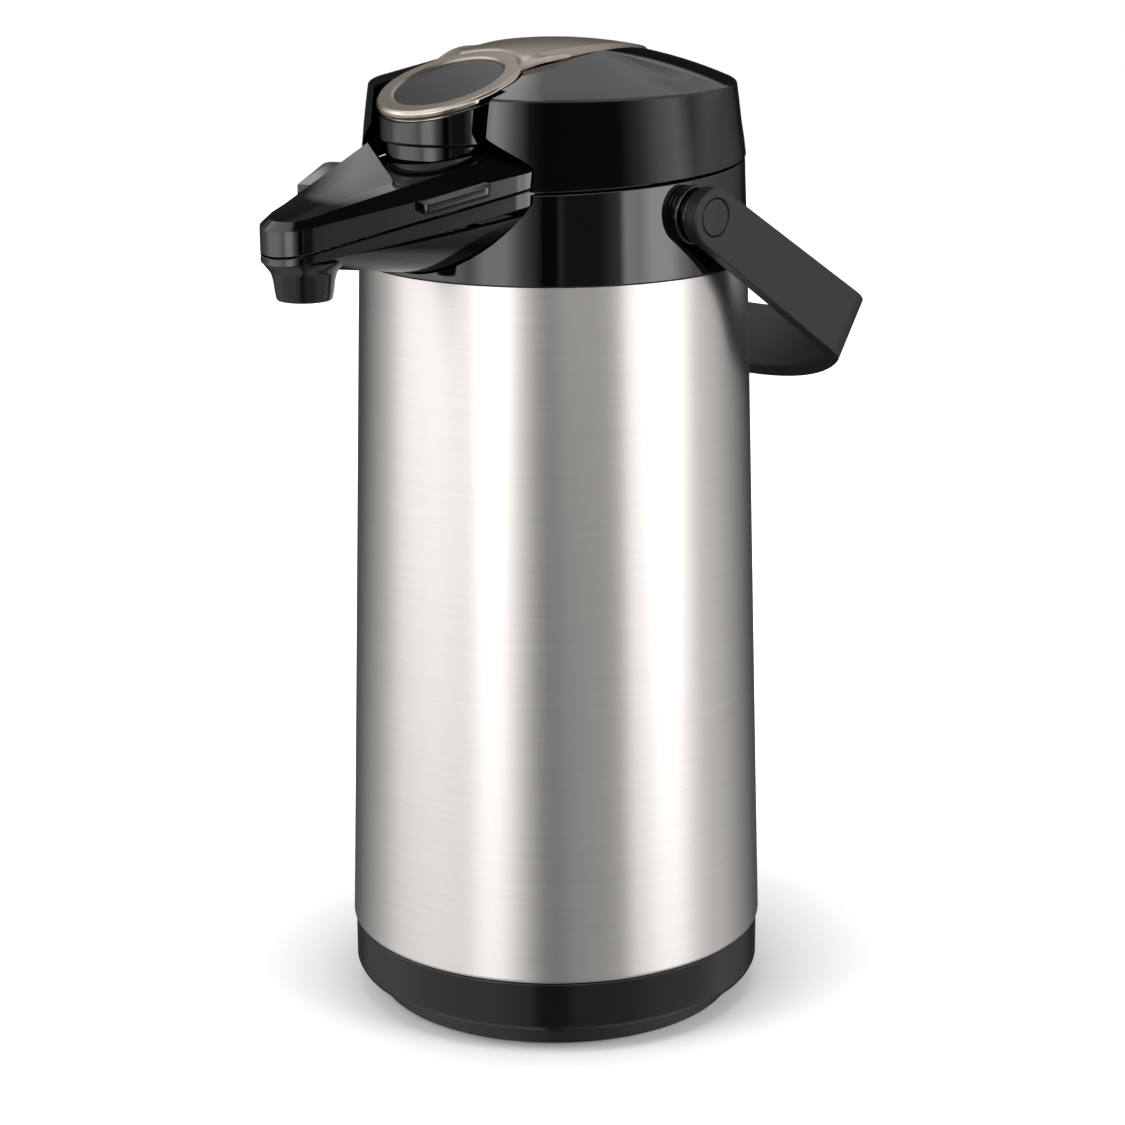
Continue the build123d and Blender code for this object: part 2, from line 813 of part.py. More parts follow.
def roof_form(sunk=0.0):
    """Everything under the spout's roof: a flat top, a sloping facet on each side and a coned nose."""
    ridge_start = Vector(roof_half, nozzle_y, roof_z)
    edge_start = Vector(flank_x(nozzle_y), nozzle_y, edge_z)
    ridge = (roof_spread, 1, roof_slope)
    top = half_space(ridge_start, (1, 0, 0), (0, 1, roof_slope), sunk)
    facet = half_space(ridge_start, edge_start - ridge_start, ridge, sunk)
    facets = top & facet & mirror(facet, Plane.YZ) & behind(nozzle_y)
    depth = 20.0
    fall = (roof_z - edge_z) / (flank_x(nozzle_y) - roof_half)
    top_r = roof_half - sunk / 2
    nose = Cone(top_r + depth / fall, top_r, depth, align=(Align.CENTER, Align.CENTER, Align.MAX))
    nose = Plane((0, nozzle_y, roof_z - sunk), x_dir=(1, 0, 0), z_dir=(0, -roof_slope, 1)) * nose
    return facets + (nose - behind(nozzle_y))


def make_upper_spout_cover():
    """Faceted roof of the spout, open where the lever's skirt goes down."""
    body = extrude(spout_plan(0.0, cover_back_y), beyond) & roof_form()
    body -= extrude(spout_plan(spout_wall, 0), beyond) & roof_form(spout_wall)
    body -= below(spout_seam(0) + seam_gap / 2, spout_seam_slope)
    body -= skirt_well(well_gap)
    body -= tab_form(fit_gap) + mirror(tab_form(fit_gap), Plane.YZ)
    outside = body - column(lid_foot_r + 0.8)
    inside = body & column(lid_foot_r + 0.8) & mouth_prism(cutout_gap)
    inside -= behind(disc_y)
    inside -= below(seam_z + seam_gap, seam_slope)
    return keep_largest(outside + inside)


def skirt_well(gap):
    """Room for the lever's skirt as it swings down and back."""
    circle = Circle(skirt_r + gap)
    swept = make_hull((Pos(0, disc_y) * circle).edges() + (Pos(0, disc_y + skirt_swing) * circle).edges())
    return extrude(swept, beyond)


def tab_plane():
    """Frame on the right flank: X out of it, Y back along it, Z up, at the front lower corner of the tab."""
    angle = radians(flank_angle)
    corner = (flank_x(tab_front_y), tab_front_y, spout_seam(tab_front_y) + tab_above_seam)
    return Plane(corner, x_dir=(cos(angle), -sin(angle), 0), z_dir=(0, 0, 1))


def tab_slab(y0, y1, z0, z1, x0, x1):
    """A bar along the right flank that climbs with the spout's seam."""
    slope = spout_seam_slope * cos(radians(flank_angle))
    side = make_face(Polyline(
        (x0, y0, z0 + slope * y0), (x0, y1, z0 + slope * y1),
        (x0, y1, z1 + slope * y1), (x0, y0, z1 + slope * y0), close=True,
    ))
    return tab_plane() * extrude(side, x1 - x0, dir=(1, 0, 0))


def tab_form(grow):
    """The space a latch tab's finger takes where it passes through the flank."""
    return tab_slab(-grow, tab_length + grow, -grow, tab_height + grow, -8, tab_reach)


def make_latch_tab():
    """Right latch key: a finger through the flank, on a plate with a leg behind it."""
    skin = spout_wall + fit_gap
    finger = tab_slab(0, tab_length, 0, tab_height, -skin - tab_plate, tab_reach)
    plate = tab_slab(-2, tab_length + 2, 1 - tab_above_seam, 1.2, -skin - tab_plate, -skin)
    leg = tab_slab(6, tab_length - 6, -3 - tab_above_seam, 1, -skin - tab_plate, -skin)
    return finger + plate + leg


def make_left_latch_tab():
    """Left latch key, the mirror image of the right one."""
    return mirror(make_latch_tab(), Plane.YZ)


def make_pump_housing():
    """Cup that hangs in the lid and guides the bellows, with a flange screwed to the lid."""
    top = housing_top_z + housing_flange
    body = turned(
        (0, housing_floor_z),
        (housing_r, housing_floor_z),
        (housing_r, housing_top_z),
        (housing_flange_r, housing_top_z),
        (housing_flange_r, top),
        (housing_r - housing_wall, top),
        (housing_r - housing_wall, housing_floor_z + housing_floor),
        (0, housing_floor_z + housing_floor),
    )
    body &= above(seam_z + seam_gap, seam_slope) + column(housing_r)
    body -= skirt_well(2 * well_gap) - column(housing_r)
    body -= in_front_of(disc_y + housing_front)
    for place in PolarLocations(valve_hole_ring_r, 4):
        body -= place * Pos(0, 0, housing_floor_z) * extrude(Circle(valve_hole_r), housing_floor)
    return body


def make_seal_ring():
    """Rubber ring round the foot of the housing, which seals on the bowl."""
    return turned(
        (seal_in_r, seal_low_z),
        (seal_out_r, seal_low_z),
        (seal_out_r, housing_floor_z + seal_lap),
        (housing_r + press_gap, housing_floor_z + seal_lap),
        (housing_r + press_gap, housing_floor_z - press_gap),
        (seal_in_r, housing_floor_z - press_gap),
    )


def make_air_valve():
    """Rubber flap under the housing's air holes."""
    low = housing_floor_z - valve_thick
    return turned((0, low), (valve_r, low), (valve_r, housing_floor_z), (0, housing_floor_z))


def make_pump_plate():
    """Disc on top of the bellows, with the post that the lever's rib presses."""
    top = plate_low_z + plate_thick
    reach = press_rib_z - press_rib_r - fit_gap
    plate = [(0, plate_low_z), (plate_r, plate_low_z), (plate_r, top)]
    post = [(post_r, top), (post_r, reach), (0, reach)]
    return turned(*(plate + post))


def make_bellows():
    """Folded rubber sleeve between the housing floor and the pump plate."""
    low = housing_floor_z + housing_floor
    pitch = (plate_low_z - low) / bellows_folds
    outer = [(bellows_valley_r, low)]
    for fold in range(bellows_folds):
        outer.append((bellows_out_r, low + pitch * (fold + 0.5)))
        outer.append((bellows_valley_r, low + pitch * (fold + 1)))
    inside = [(bellows_in_r, plate_low_z), (bellows_in_r, low)]
    return turned(*(outer + inside))


def make_return_spring():
    """Compression spring round the pump's post, wound here in short straight runs of hexagonal wire."""
    low = housing_floor_z + housing_floor + spring_wire_r + run_gap
    high = plate_low_z - spring_wire_r - run_gap
    runs = spring_turns * runs_per_turn
    path = []
    for k in range(runs + 1):
        turn_angle = 2 * pi * k / runs_per_turn
        path.append((spring_r * cos(turn_angle), spring_r * sin(turn_angle), low + (high - low) * k / runs))
    wire = Polyline(*path)
    start = Plane(wire @ 0, z_dir=wire % 0)
    pitch = (high - low) / spring_turns
    print("return spring: gap between turns", round(pitch - 2 * spring_wire_r, 2), "mm")
    return sweep(start * RegularPolygon(spring_wire_r, 6), wire, transition=Transition.RIGHT)


def disc_plane(depth=0.0):
    """Frame on the tilted top of the lever's disc, Z square to it."""
    tilt = radians(disc_tilt)
    normal = Vector(0, -sin(tilt), cos(tilt))
    return Plane(Vector(0, disc_y, disc_z) - normal * depth, x_dir=(1, 0, 0), z_dir=normal)


def under_disc(depth):
    """Everything below the disc's tilted top, less a depth."""
    return disc_plane(depth) * Pos(0, 0, -beyond / 2) * Box(beyond, beyond, beyond)


def make_lever_plate():
    """Satin metal plate: a tilted ring with a stepped edge, and the strap over the crown."""
    strap = Pos(0, 0, rim_z - 4) * extrude(strap_plan() - Pos(0, disc_y) * Circle(disc_r - 3), 30)
    strap = (strap & dome(strap_proud)) - dome(strap_proud - strap_thick)
    strap &= under_disc(0)
    strap -= under_disc(disc_thick) & in_front_of(disc_y + strap_clear)
    ring = disc_plane() * turned(
        (0, -disc_thick),
        (disc_r - 2.2, -disc_thick),
        (disc_r - 0.9, -disc_thick + 0.6),
        (disc_r - 0.9, -disc_thick + 1.4),
        (disc_r, -1.9),
        (disc_r - 0.3, -0.5),
        (disc_r - 0.9, 0),
        (0, 0),
    )
    seat = disc_plane() * Pos(0, 0, -badge_inset - badge_thick) * extrude(Circle(badge_r), 9)
    return (strap + ring) - seat


def make_badge_disc():
    return disc_plane(badge_inset + badge_thick) * extrude(Circle(badge_r - 0.05), badge_thick)


def make_lever_skirt():
    """Black cup under the disc that hides the mechanism as the lever goes down."""
    cup = Pos(0, disc_y, skirt_low_z) * extrude(Circle(skirt_r) - Circle(skirt_r - skirt_wall), disc_r * 2)
    lip = Pos(0, disc_y, skirt_lip_low_z) * extrude(
        Circle(skirt_lip_r) - Circle(skirt_lip_r - skirt_wall), skirt_low_z - skirt_lip_low_z + 1.5)
    step = Pos(0, disc_y, skirt_low_z) * extrude(Circle(skirt_r) - Circle(skirt_lip_r - skirt_wall), 1.5)
    cup = cup + lip + step
    cup &= under_disc(disc_thick)
    return cup - behind(skirt_back_y)


def make_lever_arm():
    """Moulded lever under the plate: hinge barrel, beam and the rib that pushes the pump."""
    plan = Polyline((-arm_half, disc_y + 6), (arm_half, disc_y + 6), (lever_barrel_half, pivot_y),
                    (-lever_barrel_half, pivot_y), close=True)
    side = Polyline((pivot_y, pivot_z - 2), (10, 371.0), (-20, 371.0), (disc_y + 18, 366.0),
                    (disc_y + 6, 363.0), (disc_y + 6, 390), (38, 390), (38, pivot_z + 3),
                    (pivot_y, pivot_z + 3), close=True)
    beam = extrude(Plane.YZ * make_face(side), 60, both=True)
    beam &= extrude(make_face(plan), beyond)
    beam &= dome(strap_proud - strap_thick - press_gap)
    beam &= under_disc(disc_thick + press_gap)
    half = lever_barrel_half
    barrel = rod(lever_barrel_r, (-half, pivot_y, pivot_z), (half, pivot_y, pivot_z))
    rib = rod(press_rib_r, (-press_rib_half, pump_y, press_rib_z), (press_rib_half, pump_y, press_rib_z))
    web_top = 374.0
    web = Pos(0, pump_y, (press_rib_z + web_top) / 2) * Box(press_rib_half * 2, 5, web_top - press_rib_z)
    body = beam + barrel + rib + web
    return body - rod(lever_pin_r + run_gap, (-arm_half, pivot_y, pivot_z), (arm_half, pivot_y, pivot_z))


parts = {
    "steel_jacket": make_steel_jacket,
    "base_band": make_base_band,
    "flask_cushion": make_flask_cushion,
    "flask_outer_wall": make_flask_outer_wall,
    "flask_inner_wall": make_flask_inner_wall,
    "neck_gasket": make_neck_gasket,
    "collar": make_collar,
    "filling_funnel": make_funnel,
    "lower_spout_cover": make_lower_spout_cover,
    "nozzle": make_nozzle,
    "discharge_tube": make_discharge_tube,
    "riser_tube": make_riser_tube,
    "tube_holder": make_tube_holder,
    "tube_grommet": make_tube_grommet,
    "pivot_bushes": make_pivot_bushes,
    "handle_pins": make_handle_pins,
    "hinge_pin": make_hinge_pin,
    "swivel_foot": make_swivel_foot,
    "foot_pad_ring": make_foot_pad_ring,
    "hub_clip": make_hub_clip,
    "handle": make_handle,
    "lid_shell": make_lid_shell,
    "upper_spout_cover": make_upper_spout_cover,
    "pump_housing": make_pump_housing,
    "seal_ring": make_seal_ring,
    "air_valve": make_air_valve,
    "lever_pin": make_lever_pin,
    "lever_plate": make_lever_plate,
    "lever_arm": make_lever_arm,
    "badge_disc": make_badge_disc,
    "lever_skirt": make_lever_skirt,
    "pump_plate": make_pump_plate,
    "bellows": make_bellows,
    "return_spring": make_return_spring,
    "latch_tab_right": make_latch_tab,
    "latch_tab_left": make_left_latch_tab,
}

for name, make in parts.items():
    piece = make()
    export_step(piece, "parts/" + name + ".step")
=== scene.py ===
import math

import bmesh
import bpy
from mathutils import Matrix, Vector


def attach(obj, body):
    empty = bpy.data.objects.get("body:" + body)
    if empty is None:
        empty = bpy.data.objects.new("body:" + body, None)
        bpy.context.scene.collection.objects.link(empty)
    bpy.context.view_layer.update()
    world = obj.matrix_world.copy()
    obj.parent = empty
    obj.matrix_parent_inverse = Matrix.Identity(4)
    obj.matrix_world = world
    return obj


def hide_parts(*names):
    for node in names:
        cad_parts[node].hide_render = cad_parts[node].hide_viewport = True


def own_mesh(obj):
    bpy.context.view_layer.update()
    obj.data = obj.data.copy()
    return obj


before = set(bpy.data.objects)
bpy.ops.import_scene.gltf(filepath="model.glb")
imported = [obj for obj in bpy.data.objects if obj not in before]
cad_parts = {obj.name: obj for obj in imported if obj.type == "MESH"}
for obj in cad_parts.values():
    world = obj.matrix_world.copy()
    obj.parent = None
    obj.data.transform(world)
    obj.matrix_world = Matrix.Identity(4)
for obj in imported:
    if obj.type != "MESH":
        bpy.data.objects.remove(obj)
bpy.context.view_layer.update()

# Airpot: a vacuum jug with a lever pump. Sizes are in millimetres in the jug's own frame:
# the axis is Z, the table is Z = 0, the spout points along -Y and the handle turns on X.
MM = 0.001


# -------------------------------- camera
# A long lens about 1.1 m away, to the front right of the jug and slightly above it.

PHOTO_PIXELS = 1125
FOCAL_PIXELS = 2883.6
VIEW_TURN = math.radians(45.4)
CAMERA_DIP = math.radians(15.424)
CAMERA_ROLL = math.radians(0.22)
CAMERA_AWAY = 1111.2
CAMERA_ASIDE = 3.1
CAMERA_HEIGHT = 482.3

scene = bpy.context.scene
scene.view_settings.view_transform = "Standard"

into_view = Vector((-math.sin(VIEW_TURN), math.cos(VIEW_TURN), 0))
across_view = Vector((math.cos(VIEW_TURN), math.sin(VIEW_TURN), 0))
camera_data = bpy.data.cameras.new("camera")
camera_data.sensor_width = 36
camera_data.lens = camera_data.sensor_width * FOCAL_PIXELS / PHOTO_PIXELS
camera_data.clip_start = 0.05
camera = bpy.data.objects.new("camera", camera_data)
scene.collection.objects.link(camera)
stand = across_view * CAMERA_ASIDE - into_view * CAMERA_AWAY + Vector((0, 0, CAMERA_HEIGHT))
camera.location = stand * MM
aim = into_view * math.cos(CAMERA_DIP) - Vector((0, 0, math.sin(CAMERA_DIP)))
camera.rotation_mode = "QUATERNION"
roll = Matrix.Rotation(-CAMERA_ROLL, 3, "Z").to_quaternion()
camera.rotation_quaternion = aim.to_track_quat("-Z", "Y") @ roll
scene.camera = camera


# -------------------------------- studio
# White surroundings and a pale table. What gloss and metal reflect is five rings of soft
# panels, one above the other, under a dark ceiling, so every upright wall shows tall stripes.

FLOOR_RADIUS = 2500
TABLE_LEVEL = [  # degrees round from the camera, towards its right, and brightness
    (-180, 0.02), (-150, 0.08), (-130, 0.28), (-101, 0.55), (-35, 0.55), (-16, 0.36), (-9, 0.11),
    (5, 0.11), (12, 0.25), (42, 0.27), (59, 0.44), (85, 0.44), (107, 0.52), (130, 0.24), (150, 0.06),
    (180, 0.02),
]
COLLAR_LEVEL = [
    (-180, 0.02), (-150, 0.04), (-130, 0.25), (-110, 0.60), (-95, 1.70), (-70, 2.10), (-56, 1.70),
    (-49, 1.20), (-40, 2.80), (-28, 2.80), (-18, 0.90), (-12, 0.45), (-6, 0.01), (2, 0.01), (4, 0.26),
    (8, 0.08), (27, 0.08), (39, 0.50), (43, 3.00), (52, 2.80), (60, 4.20), (72, 4.00), (80, 2.20),
    (90, 0.90), (110, 0.50), (140, 0.15), (155, 0.02), (180, 0.02),
]
EYE_LEVEL = [
    (-180, 0.01), (-150, 0.05), (-130, 0.30), (-110, 0.70), (-90, 1.00), (-60, 0.90), (-45, 2.00),
    (-35, 3.80), (-23, 1.20), (-14, 0.12), (-6, 0.01), (40, 0.03), (53, 0.35), (66, 1.05), (79, 1.45),
    (93, 0.42), (109, 0.70), (126, 0.55), (145, 0.20), (158, 0.02), (180, 0.01),
]
HIGH_LEVEL = [
    (-180, 0.30), (-171.0, 0.30), (-169.9, 0.80), (-168.7, 0.75), (-168.1, 0.05), (-160, 0.02),
    (-148, 0.20), (-130, 0.50), (-118, 0.90), (-110, 1.50), (-96, 2.40), (-32, 2.40), (-20, 2.20),
    (-10, 2.20), (-5, 2.40), (3, 2.60), (10, 4.40), (18, 3.20), (26, 3.20), (38, 3.20), (50, 2.40),
    (62, 1.10), (84, 0.90), (95, 1.30), (112, 1.20), (128, 0.40), (146, 0.20), (160, 0.45), (180, 0.45),
]
TOP_LEVEL = [
    (-180, 0.60), (-178.5, 0.60), (-175, 1.60), (-169.1, 1.60), (-168.3, 0.10), (-158, 0.10),
    (-148, 1.20), (-110, 1.20), (-60, 1.20), (0, 0.70), (60, 0.90), (120, 0.50), (180, 0.60),
]
COLLAR_FROM = -14.0     # elevations in degrees at which one level gives way to the next
EYE_FROM = 0.0
HIGH_FROM = 12.0
BEHIND_FROM = 16.0      # the high panels behind the jug start higher
BEHIND = -0.1, -0.6     # cosines from the camera's direction between which that comes in
TOP_FROM = 29.5
TOP_TO = 62.0
CEILING = 0.02
DAYLIGHT = 0.55         # what everything but gloss and metal sees
LAMP_AWAY = 1.6         # metres, from the point the lamps face
LAMP_AIM = Vector((0, 0, 0.15))
FADE = (0.085, 0.26)    # metres from the axis, and the painted glow at each: the table glows for the camera, faintly near the jug, which paints shade round its foot
PAINTED_GLOW = (0.08, 0.9)


def linear(code):
    """An sRGB hex colour as linear RGBA."""
    parts = [int(code[i:i + 2], 16) / 255 for i in (1, 3, 5)]
    return [v / 12.92 if v <= 0.04045 else ((v + 0.055) / 1.055) ** 2.4 for v in parts] + [1]


def node(tree, kind, feeds=None, **settings):
    """Add a node, set its properties, then set or link its input sockets."""
    made = tree.nodes.new(kind)
    for name, value in settings.items():
        setattr(made, name, value)
    for socket, source in (feeds or {}).items():
        if isinstance(source, bpy.types.NodeSocket):
            tree.links.new(source, made.inputs[socket])
        else:
            made.inputs[socket].default_value = source
    return made


world = bpy.data.worlds.new("studio")
scene.world = world
world.use_nodes = True
sky = world.node_tree
sky.nodes.clear()
where = node(sky, "ShaderNodeTexCoord").outputs["Generated"]
ahead = node(sky, "ShaderNodeVectorMath", {0: where, 1: -into_view}, operation="DOT_PRODUCT")
right = node(sky, "ShaderNodeVectorMath", {0: where, 1: across_view}, operation="DOT_PRODUCT")
sides = {0: right.outputs["Value"], 1: ahead.outputs["Value"]}
turned = node(sky, "ShaderNodeMath", sides, operation="ARCTAN2")
share = node(sky, "ShaderNodeMapRange", {0: turned.outputs[0], 1: -math.pi, 2: math.pi}).outputs[0]
height = node(sky, "ShaderNodeSeparateXYZ", {0: where}).outputs["Z"]


def panel_ring(panels):
    """The brightness of one ring of panels by direction."""
    ramp = node(sky, "ShaderNodeValToRGB", {"Fac": share})
    stops = ramp.color_ramp.elements
    for turn, light in panels[1:-1]:
        stops.new((turn + 180) / 360)
    for stop, (turn, light) in zip(stops, panels):
        stop.color = (light, light, light, 1)
    return ramp.outputs["Color"]


def rise(start, over=3.0):
    """0 below an elevation in degrees and 1 above it."""
    low, high = math.sin(math.radians(start)), math.sin(math.radians(start + over))
    feeds = {0: height, 1: low, 2: high}
    return node(sky, "ShaderNodeMapRange", feeds, interpolation_type="SMOOTHSTEP").outputs[0]


def blend(tree, factor, first, second):
    """A number between two, by a 0 to 1 factor."""
    return node(tree, "ShaderNodeMix", {"Factor": factor, 2: first, 3: second}).outputs[0]


mirrored = panel_ring(TABLE_LEVEL)
mirrored = blend(sky, rise(COLLAR_FROM), mirrored, panel_ring(COLLAR_LEVEL))
mirrored = blend(sky, rise(EYE_FROM), mirrored, panel_ring(EYE_LEVEL))
behind = node(sky, "ShaderNodeMapRange", {0: ahead.outputs["Value"], 1: BEHIND[0], 2: BEHIND[1]}).outputs[0]
high = blend(sky, behind, rise(HIGH_FROM, 8), rise(BEHIND_FROM))
mirrored = blend(sky, high, mirrored, panel_ring(HIGH_LEVEL))
mirrored = blend(sky, rise(TOP_FROM, 1.5), mirrored, panel_ring(TOP_LEVEL))
mirrored = blend(sky, rise(TOP_TO, 8), mirrored, CEILING)
ray = node(sky, "ShaderNodeLightPath")
soft = blend(sky, ray.outputs["Is Glossy Ray"], DAYLIGHT, mirrored)
seen = node(sky, "ShaderNodeMath", {0: soft, 1: ray.outputs["Is Camera Ray"]}, operation="MAXIMUM")
glow = node(sky, "ShaderNodeBackground", {"Color": (1, 1, 1, 1), "Strength": seen.outputs[0]})
node(sky, "ShaderNodeOutputWorld", {"Surface": glow.outputs[0]})

for name, turn, lift, size, power in (
    ("key_light", -62, 38, 0.9, 12.0),
    ("fill_light", 58, 30, 0.8, 10.0),
    ("top_light", 0, 80, 0.8, 6.0),
):
    lamp = bpy.data.lights.new(name, "AREA")
    lamp.shape = "DISK"
    lamp.size = size
    lamp.energy = power
    made = bpy.data.objects.new(name, lamp)
    made.visible_glossy = False
    scene.collection.objects.link(made)
    level = math.cos(math.radians(lift))
    towards = -into_view * math.cos(math.radians(turn)) + across_view * math.sin(math.radians(turn))
    spot = towards * level + Vector((0, 0, math.sin(math.radians(lift))))
    made.location = spot * LAMP_AWAY + LAMP_AIM
    made.rotation_mode = "QUATERNION"
    made.rotation_quaternion = spot.to_track_quat("Z", "Y")

floor_paint = bpy.data.materials.new("table_paint")
floor_paint.use_nodes = True
tree = floor_paint.node_tree
tree.nodes.clear()
matt = node(tree, "ShaderNodeBsdfDiffuse", {"Color": linear("#e8e8e8")})
spot = node(tree, "ShaderNodeTexCoord").outputs["Object"]
away = node(tree, "ShaderNodeVectorMath", {0: spot}, operation="LENGTH")
# Painted light: camera rays see the table glow, faintly near the jug and strongly further out. The glow
# whitens the table and leaves painted shade round the jug's foot on top of its real shadow.
fade = {0: away.outputs["Value"], 1: FADE[0], 2: FADE[1], 3: PAINTED_GLOW[0], 4: PAINTED_GLOW[1]}
fade = node(tree, "ShaderNodeMapRange", fade)
painted_glow_shader = node(tree, "ShaderNodeEmission", {"Color": (1, 1, 1, 1), "Strength": fade.outputs[0]})
lit = node(tree, "ShaderNodeAddShader", {0: matt.outputs[0], 1: painted_glow_shader.outputs[0]})
ray = node(tree, "ShaderNodeLightPath")
plain = {0: ray.outputs["Is Camera Ray"], 1: matt.outputs[0], 2: lit.outputs[0]}
plain = node(tree, "ShaderNodeMixShader", plain)
clear = node(tree, "ShaderNodeBsdfTransparent")
gone = {0: ray.outputs["Is Glossy Ray"], 1: plain.outputs[0], 2: clear.outputs[0]}
gone = node(tree, "ShaderNodeMixShader", gone)
node(tree, "ShaderNodeOutputMaterial", {"Surface": gone.outputs[0]})
grid = bmesh.new()
bmesh.ops.create_circle(grid, cap_ends=True, segments=96, radius=FLOOR_RADIUS * MM)
floor_mesh = bpy.data.meshes.new("table_top")
grid.to_mesh(floor_mesh)
grid.free()
floor_mesh.materials.append(floor_paint)
floor = bpy.data.objects.new("table_top", floor_mesh)
scene.collection.objects.link(floor)


# -------------------------------- steel jacket
# A cone of thin stainless sheet, brushed round the jug on a belt, so that the light spreads
# up and down it in tall stripes. Its lower edge is rolled in over the base.

JACKET_FOOT_R = 83.1
JACKET_TOP_R = 75.3
JACKET_LOW = 29.7
JACKET_TOP = 299.8
SHEET = 0.8
HEM_R = 1.6
HEM_DEPTH = 2.4
HEM_HEIGHT = 3.4
ROUND = 256          # segments of a full turn


def jacket_r(z):
    """Outer radius of the jacket at a height."""
    share = (z - JACKET_LOW) / (JACKET_TOP - JACKET_LOW)
    return JACKET_FOOT_R + (JACKET_TOP_R - JACKET_FOOT_R) * share


def rounded(corners, steps=5):
    """A closed outline whose corners with a third number are rounded to that radius."""
    outline = []
    for i, corner in enumerate(corners):
        here = Vector(corner[:2])
        if len(corner) == 2:
            outline.append(here)
            continue
        before = (Vector(corners[i - 1][:2]) - here).normalized()
        after = (Vector(corners[(i + 1) % len(corners)][:2]) - here).normalized()
        half = before.angle(after) / 2
        centre = here + (before + after).normalized() * corner[2] / math.sin(half)
        start = here + before * corner[2] / math.tan(half) - centre
        end = here + after * corner[2] / math.tan(half) - centre
        for k in range(steps + 1):
            outline.append(centre + start.lerp(end, k / steps).normalized() * corner[2])
    return outline


def wrap(rows, columns, close_rows=False, close_columns=False):
    """Quads over a grid of points, listed row by row."""
    faces = []
    for i in range(rows if close_rows else rows - 1):
        for j in range(columns if close_columns else columns - 1):
            k = (i + 1) % rows
            m = (j + 1) % columns
            faces.append((i * columns + j, i * columns + m, k * columns + m, k * columns + j))
    return faces


def shade(mesh, degrees, crease=None):
    """Join doubled points, turn faces outwards, and shade smooth except at sharp edges."""
    grid = bmesh.new()
    grid.from_mesh(mesh)
    bmesh.ops.remove_doubles(grid, verts=grid.verts, dist=2e-6)
    bmesh.ops.dissolve_degenerate(grid, edges=grid.edges, dist=1e-6)
    bmesh.ops.recalc_face_normals(grid, faces=grid.faces)
    for face in grid.faces:
        face.smooth = True
    for edge in grid.edges:
        flat = edge.is_manifold and edge.calc_face_angle() < math.radians(degrees)
        edge.smooth = flat and not (crease and crease(edge))
    grid.to_mesh(mesh)
    grid.free()


def piece(name, points, faces, degrees=30, crease=None):
    """A mesh object from points in millimetres."""
    mesh = bpy.data.meshes.new(name)
    mesh.from_pydata([Vector(p) * MM for p in points], [], faces)
    shade(mesh, degrees, crease)
    made = bpy.data.objects.new(name, mesh)
    scene.collection.objects.link(made)
    return made


def lathe(name, corners, degrees=30, lean=0.0, lean_above=math.inf):
    """A closed (radius, height) outline turned about Z; points above a height climb with Y."""
    outline = rounded(corners)
    points = []
    for k in range(ROUND):
        turn = 2 * math.pi * k / ROUND
        for r, z in outline:
            x, y = r * math.cos(turn), r * math.sin(turn)
            climb = lean * y if z > lean_above else 0
            points.append((x, y, z + climb))
    return piece(name, points, wrap(ROUND, len(outline), True, True), degrees)


def dress(made, material, body, slot, *nodes):
    """Paint a piece, let it ride on its body and stand for its CAD nodes."""
    made.data.materials.clear()
    made.data.materials.append(material)
    flat = made.modifiers.new("level_faces", "WEIGHTED_NORMAL")
    flat.keep_sharp = True
    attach(made, body)
    if nodes:
        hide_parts(*nodes)


def paint(name, feeds):
    """A Principled material, with its node tree and its shader."""
    material = bpy.data.materials.new(name)
    material.use_nodes = True
    tree = material.node_tree
    tree.nodes.clear()
    shader = node(tree, "ShaderNodeBsdfPrincipled", feeds)
    node(tree, "ShaderNodeOutputMaterial", {"Surface": shader.outputs["BSDF"]})
    return material, tree, shader


def relief(tree, shader, height, depth, strength=1.0):
    """Bump from a height pattern whose full range is a depth in millimetres."""
    feeds = {"Height": height, "Distance": depth * MM, "Strength": strength}
    tree.links.new(node(tree, "ShaderNodeBump", feeds).outputs[0], shader.inputs["Normal"])


def tint(tree, shader, factor, dark, pale):
    """Colour a material between two tones, by a 0 to 1 pattern."""
    feeds = {"Factor": factor, 6: linear(dark), 7: linear(pale)}
    tone = node(tree, "ShaderNodeMix", feeds, data_type="RGBA")
    tree.links.new(tone.outputs[2], shader.inputs["Base Color"])


def roughen(tree, shader, factor, smooth, dull, low=0.0, high=1.0):
    """Set a material's roughness between two values, by a pattern that runs from low to high."""
    rough = node(tree, "ShaderNodeMapRange", {0: factor, 1: low, 2: high, 3: smooth, 4: dull})
    tree.links.new(rough.outputs[0], shader.inputs["Roughness"])


def clouded(name, feeds, size, detail, dark, pale, rough=None, depth=None):
    """A material whose colour, roughness and relief follow one noise.

    The noise's size and the relief's depth are in millimetres; rough is a range.
    """
    material, tree, shader = paint(name, feeds)
    place = node(tree, "ShaderNodeTexCoord").outputs["Object"]
    cloud = {"Vector": place, "Scale": 1 / (size * MM), "Detail": detail}
    cloud = node(tree, "ShaderNodeTexNoise", cloud).outputs["Fac"]
    tint(tree, shader, cloud, dark, pale)
    if rough:
        roughen(tree, shader, cloud, *rough)
    if depth:
        relief(tree, shader, cloud, depth)
    return material


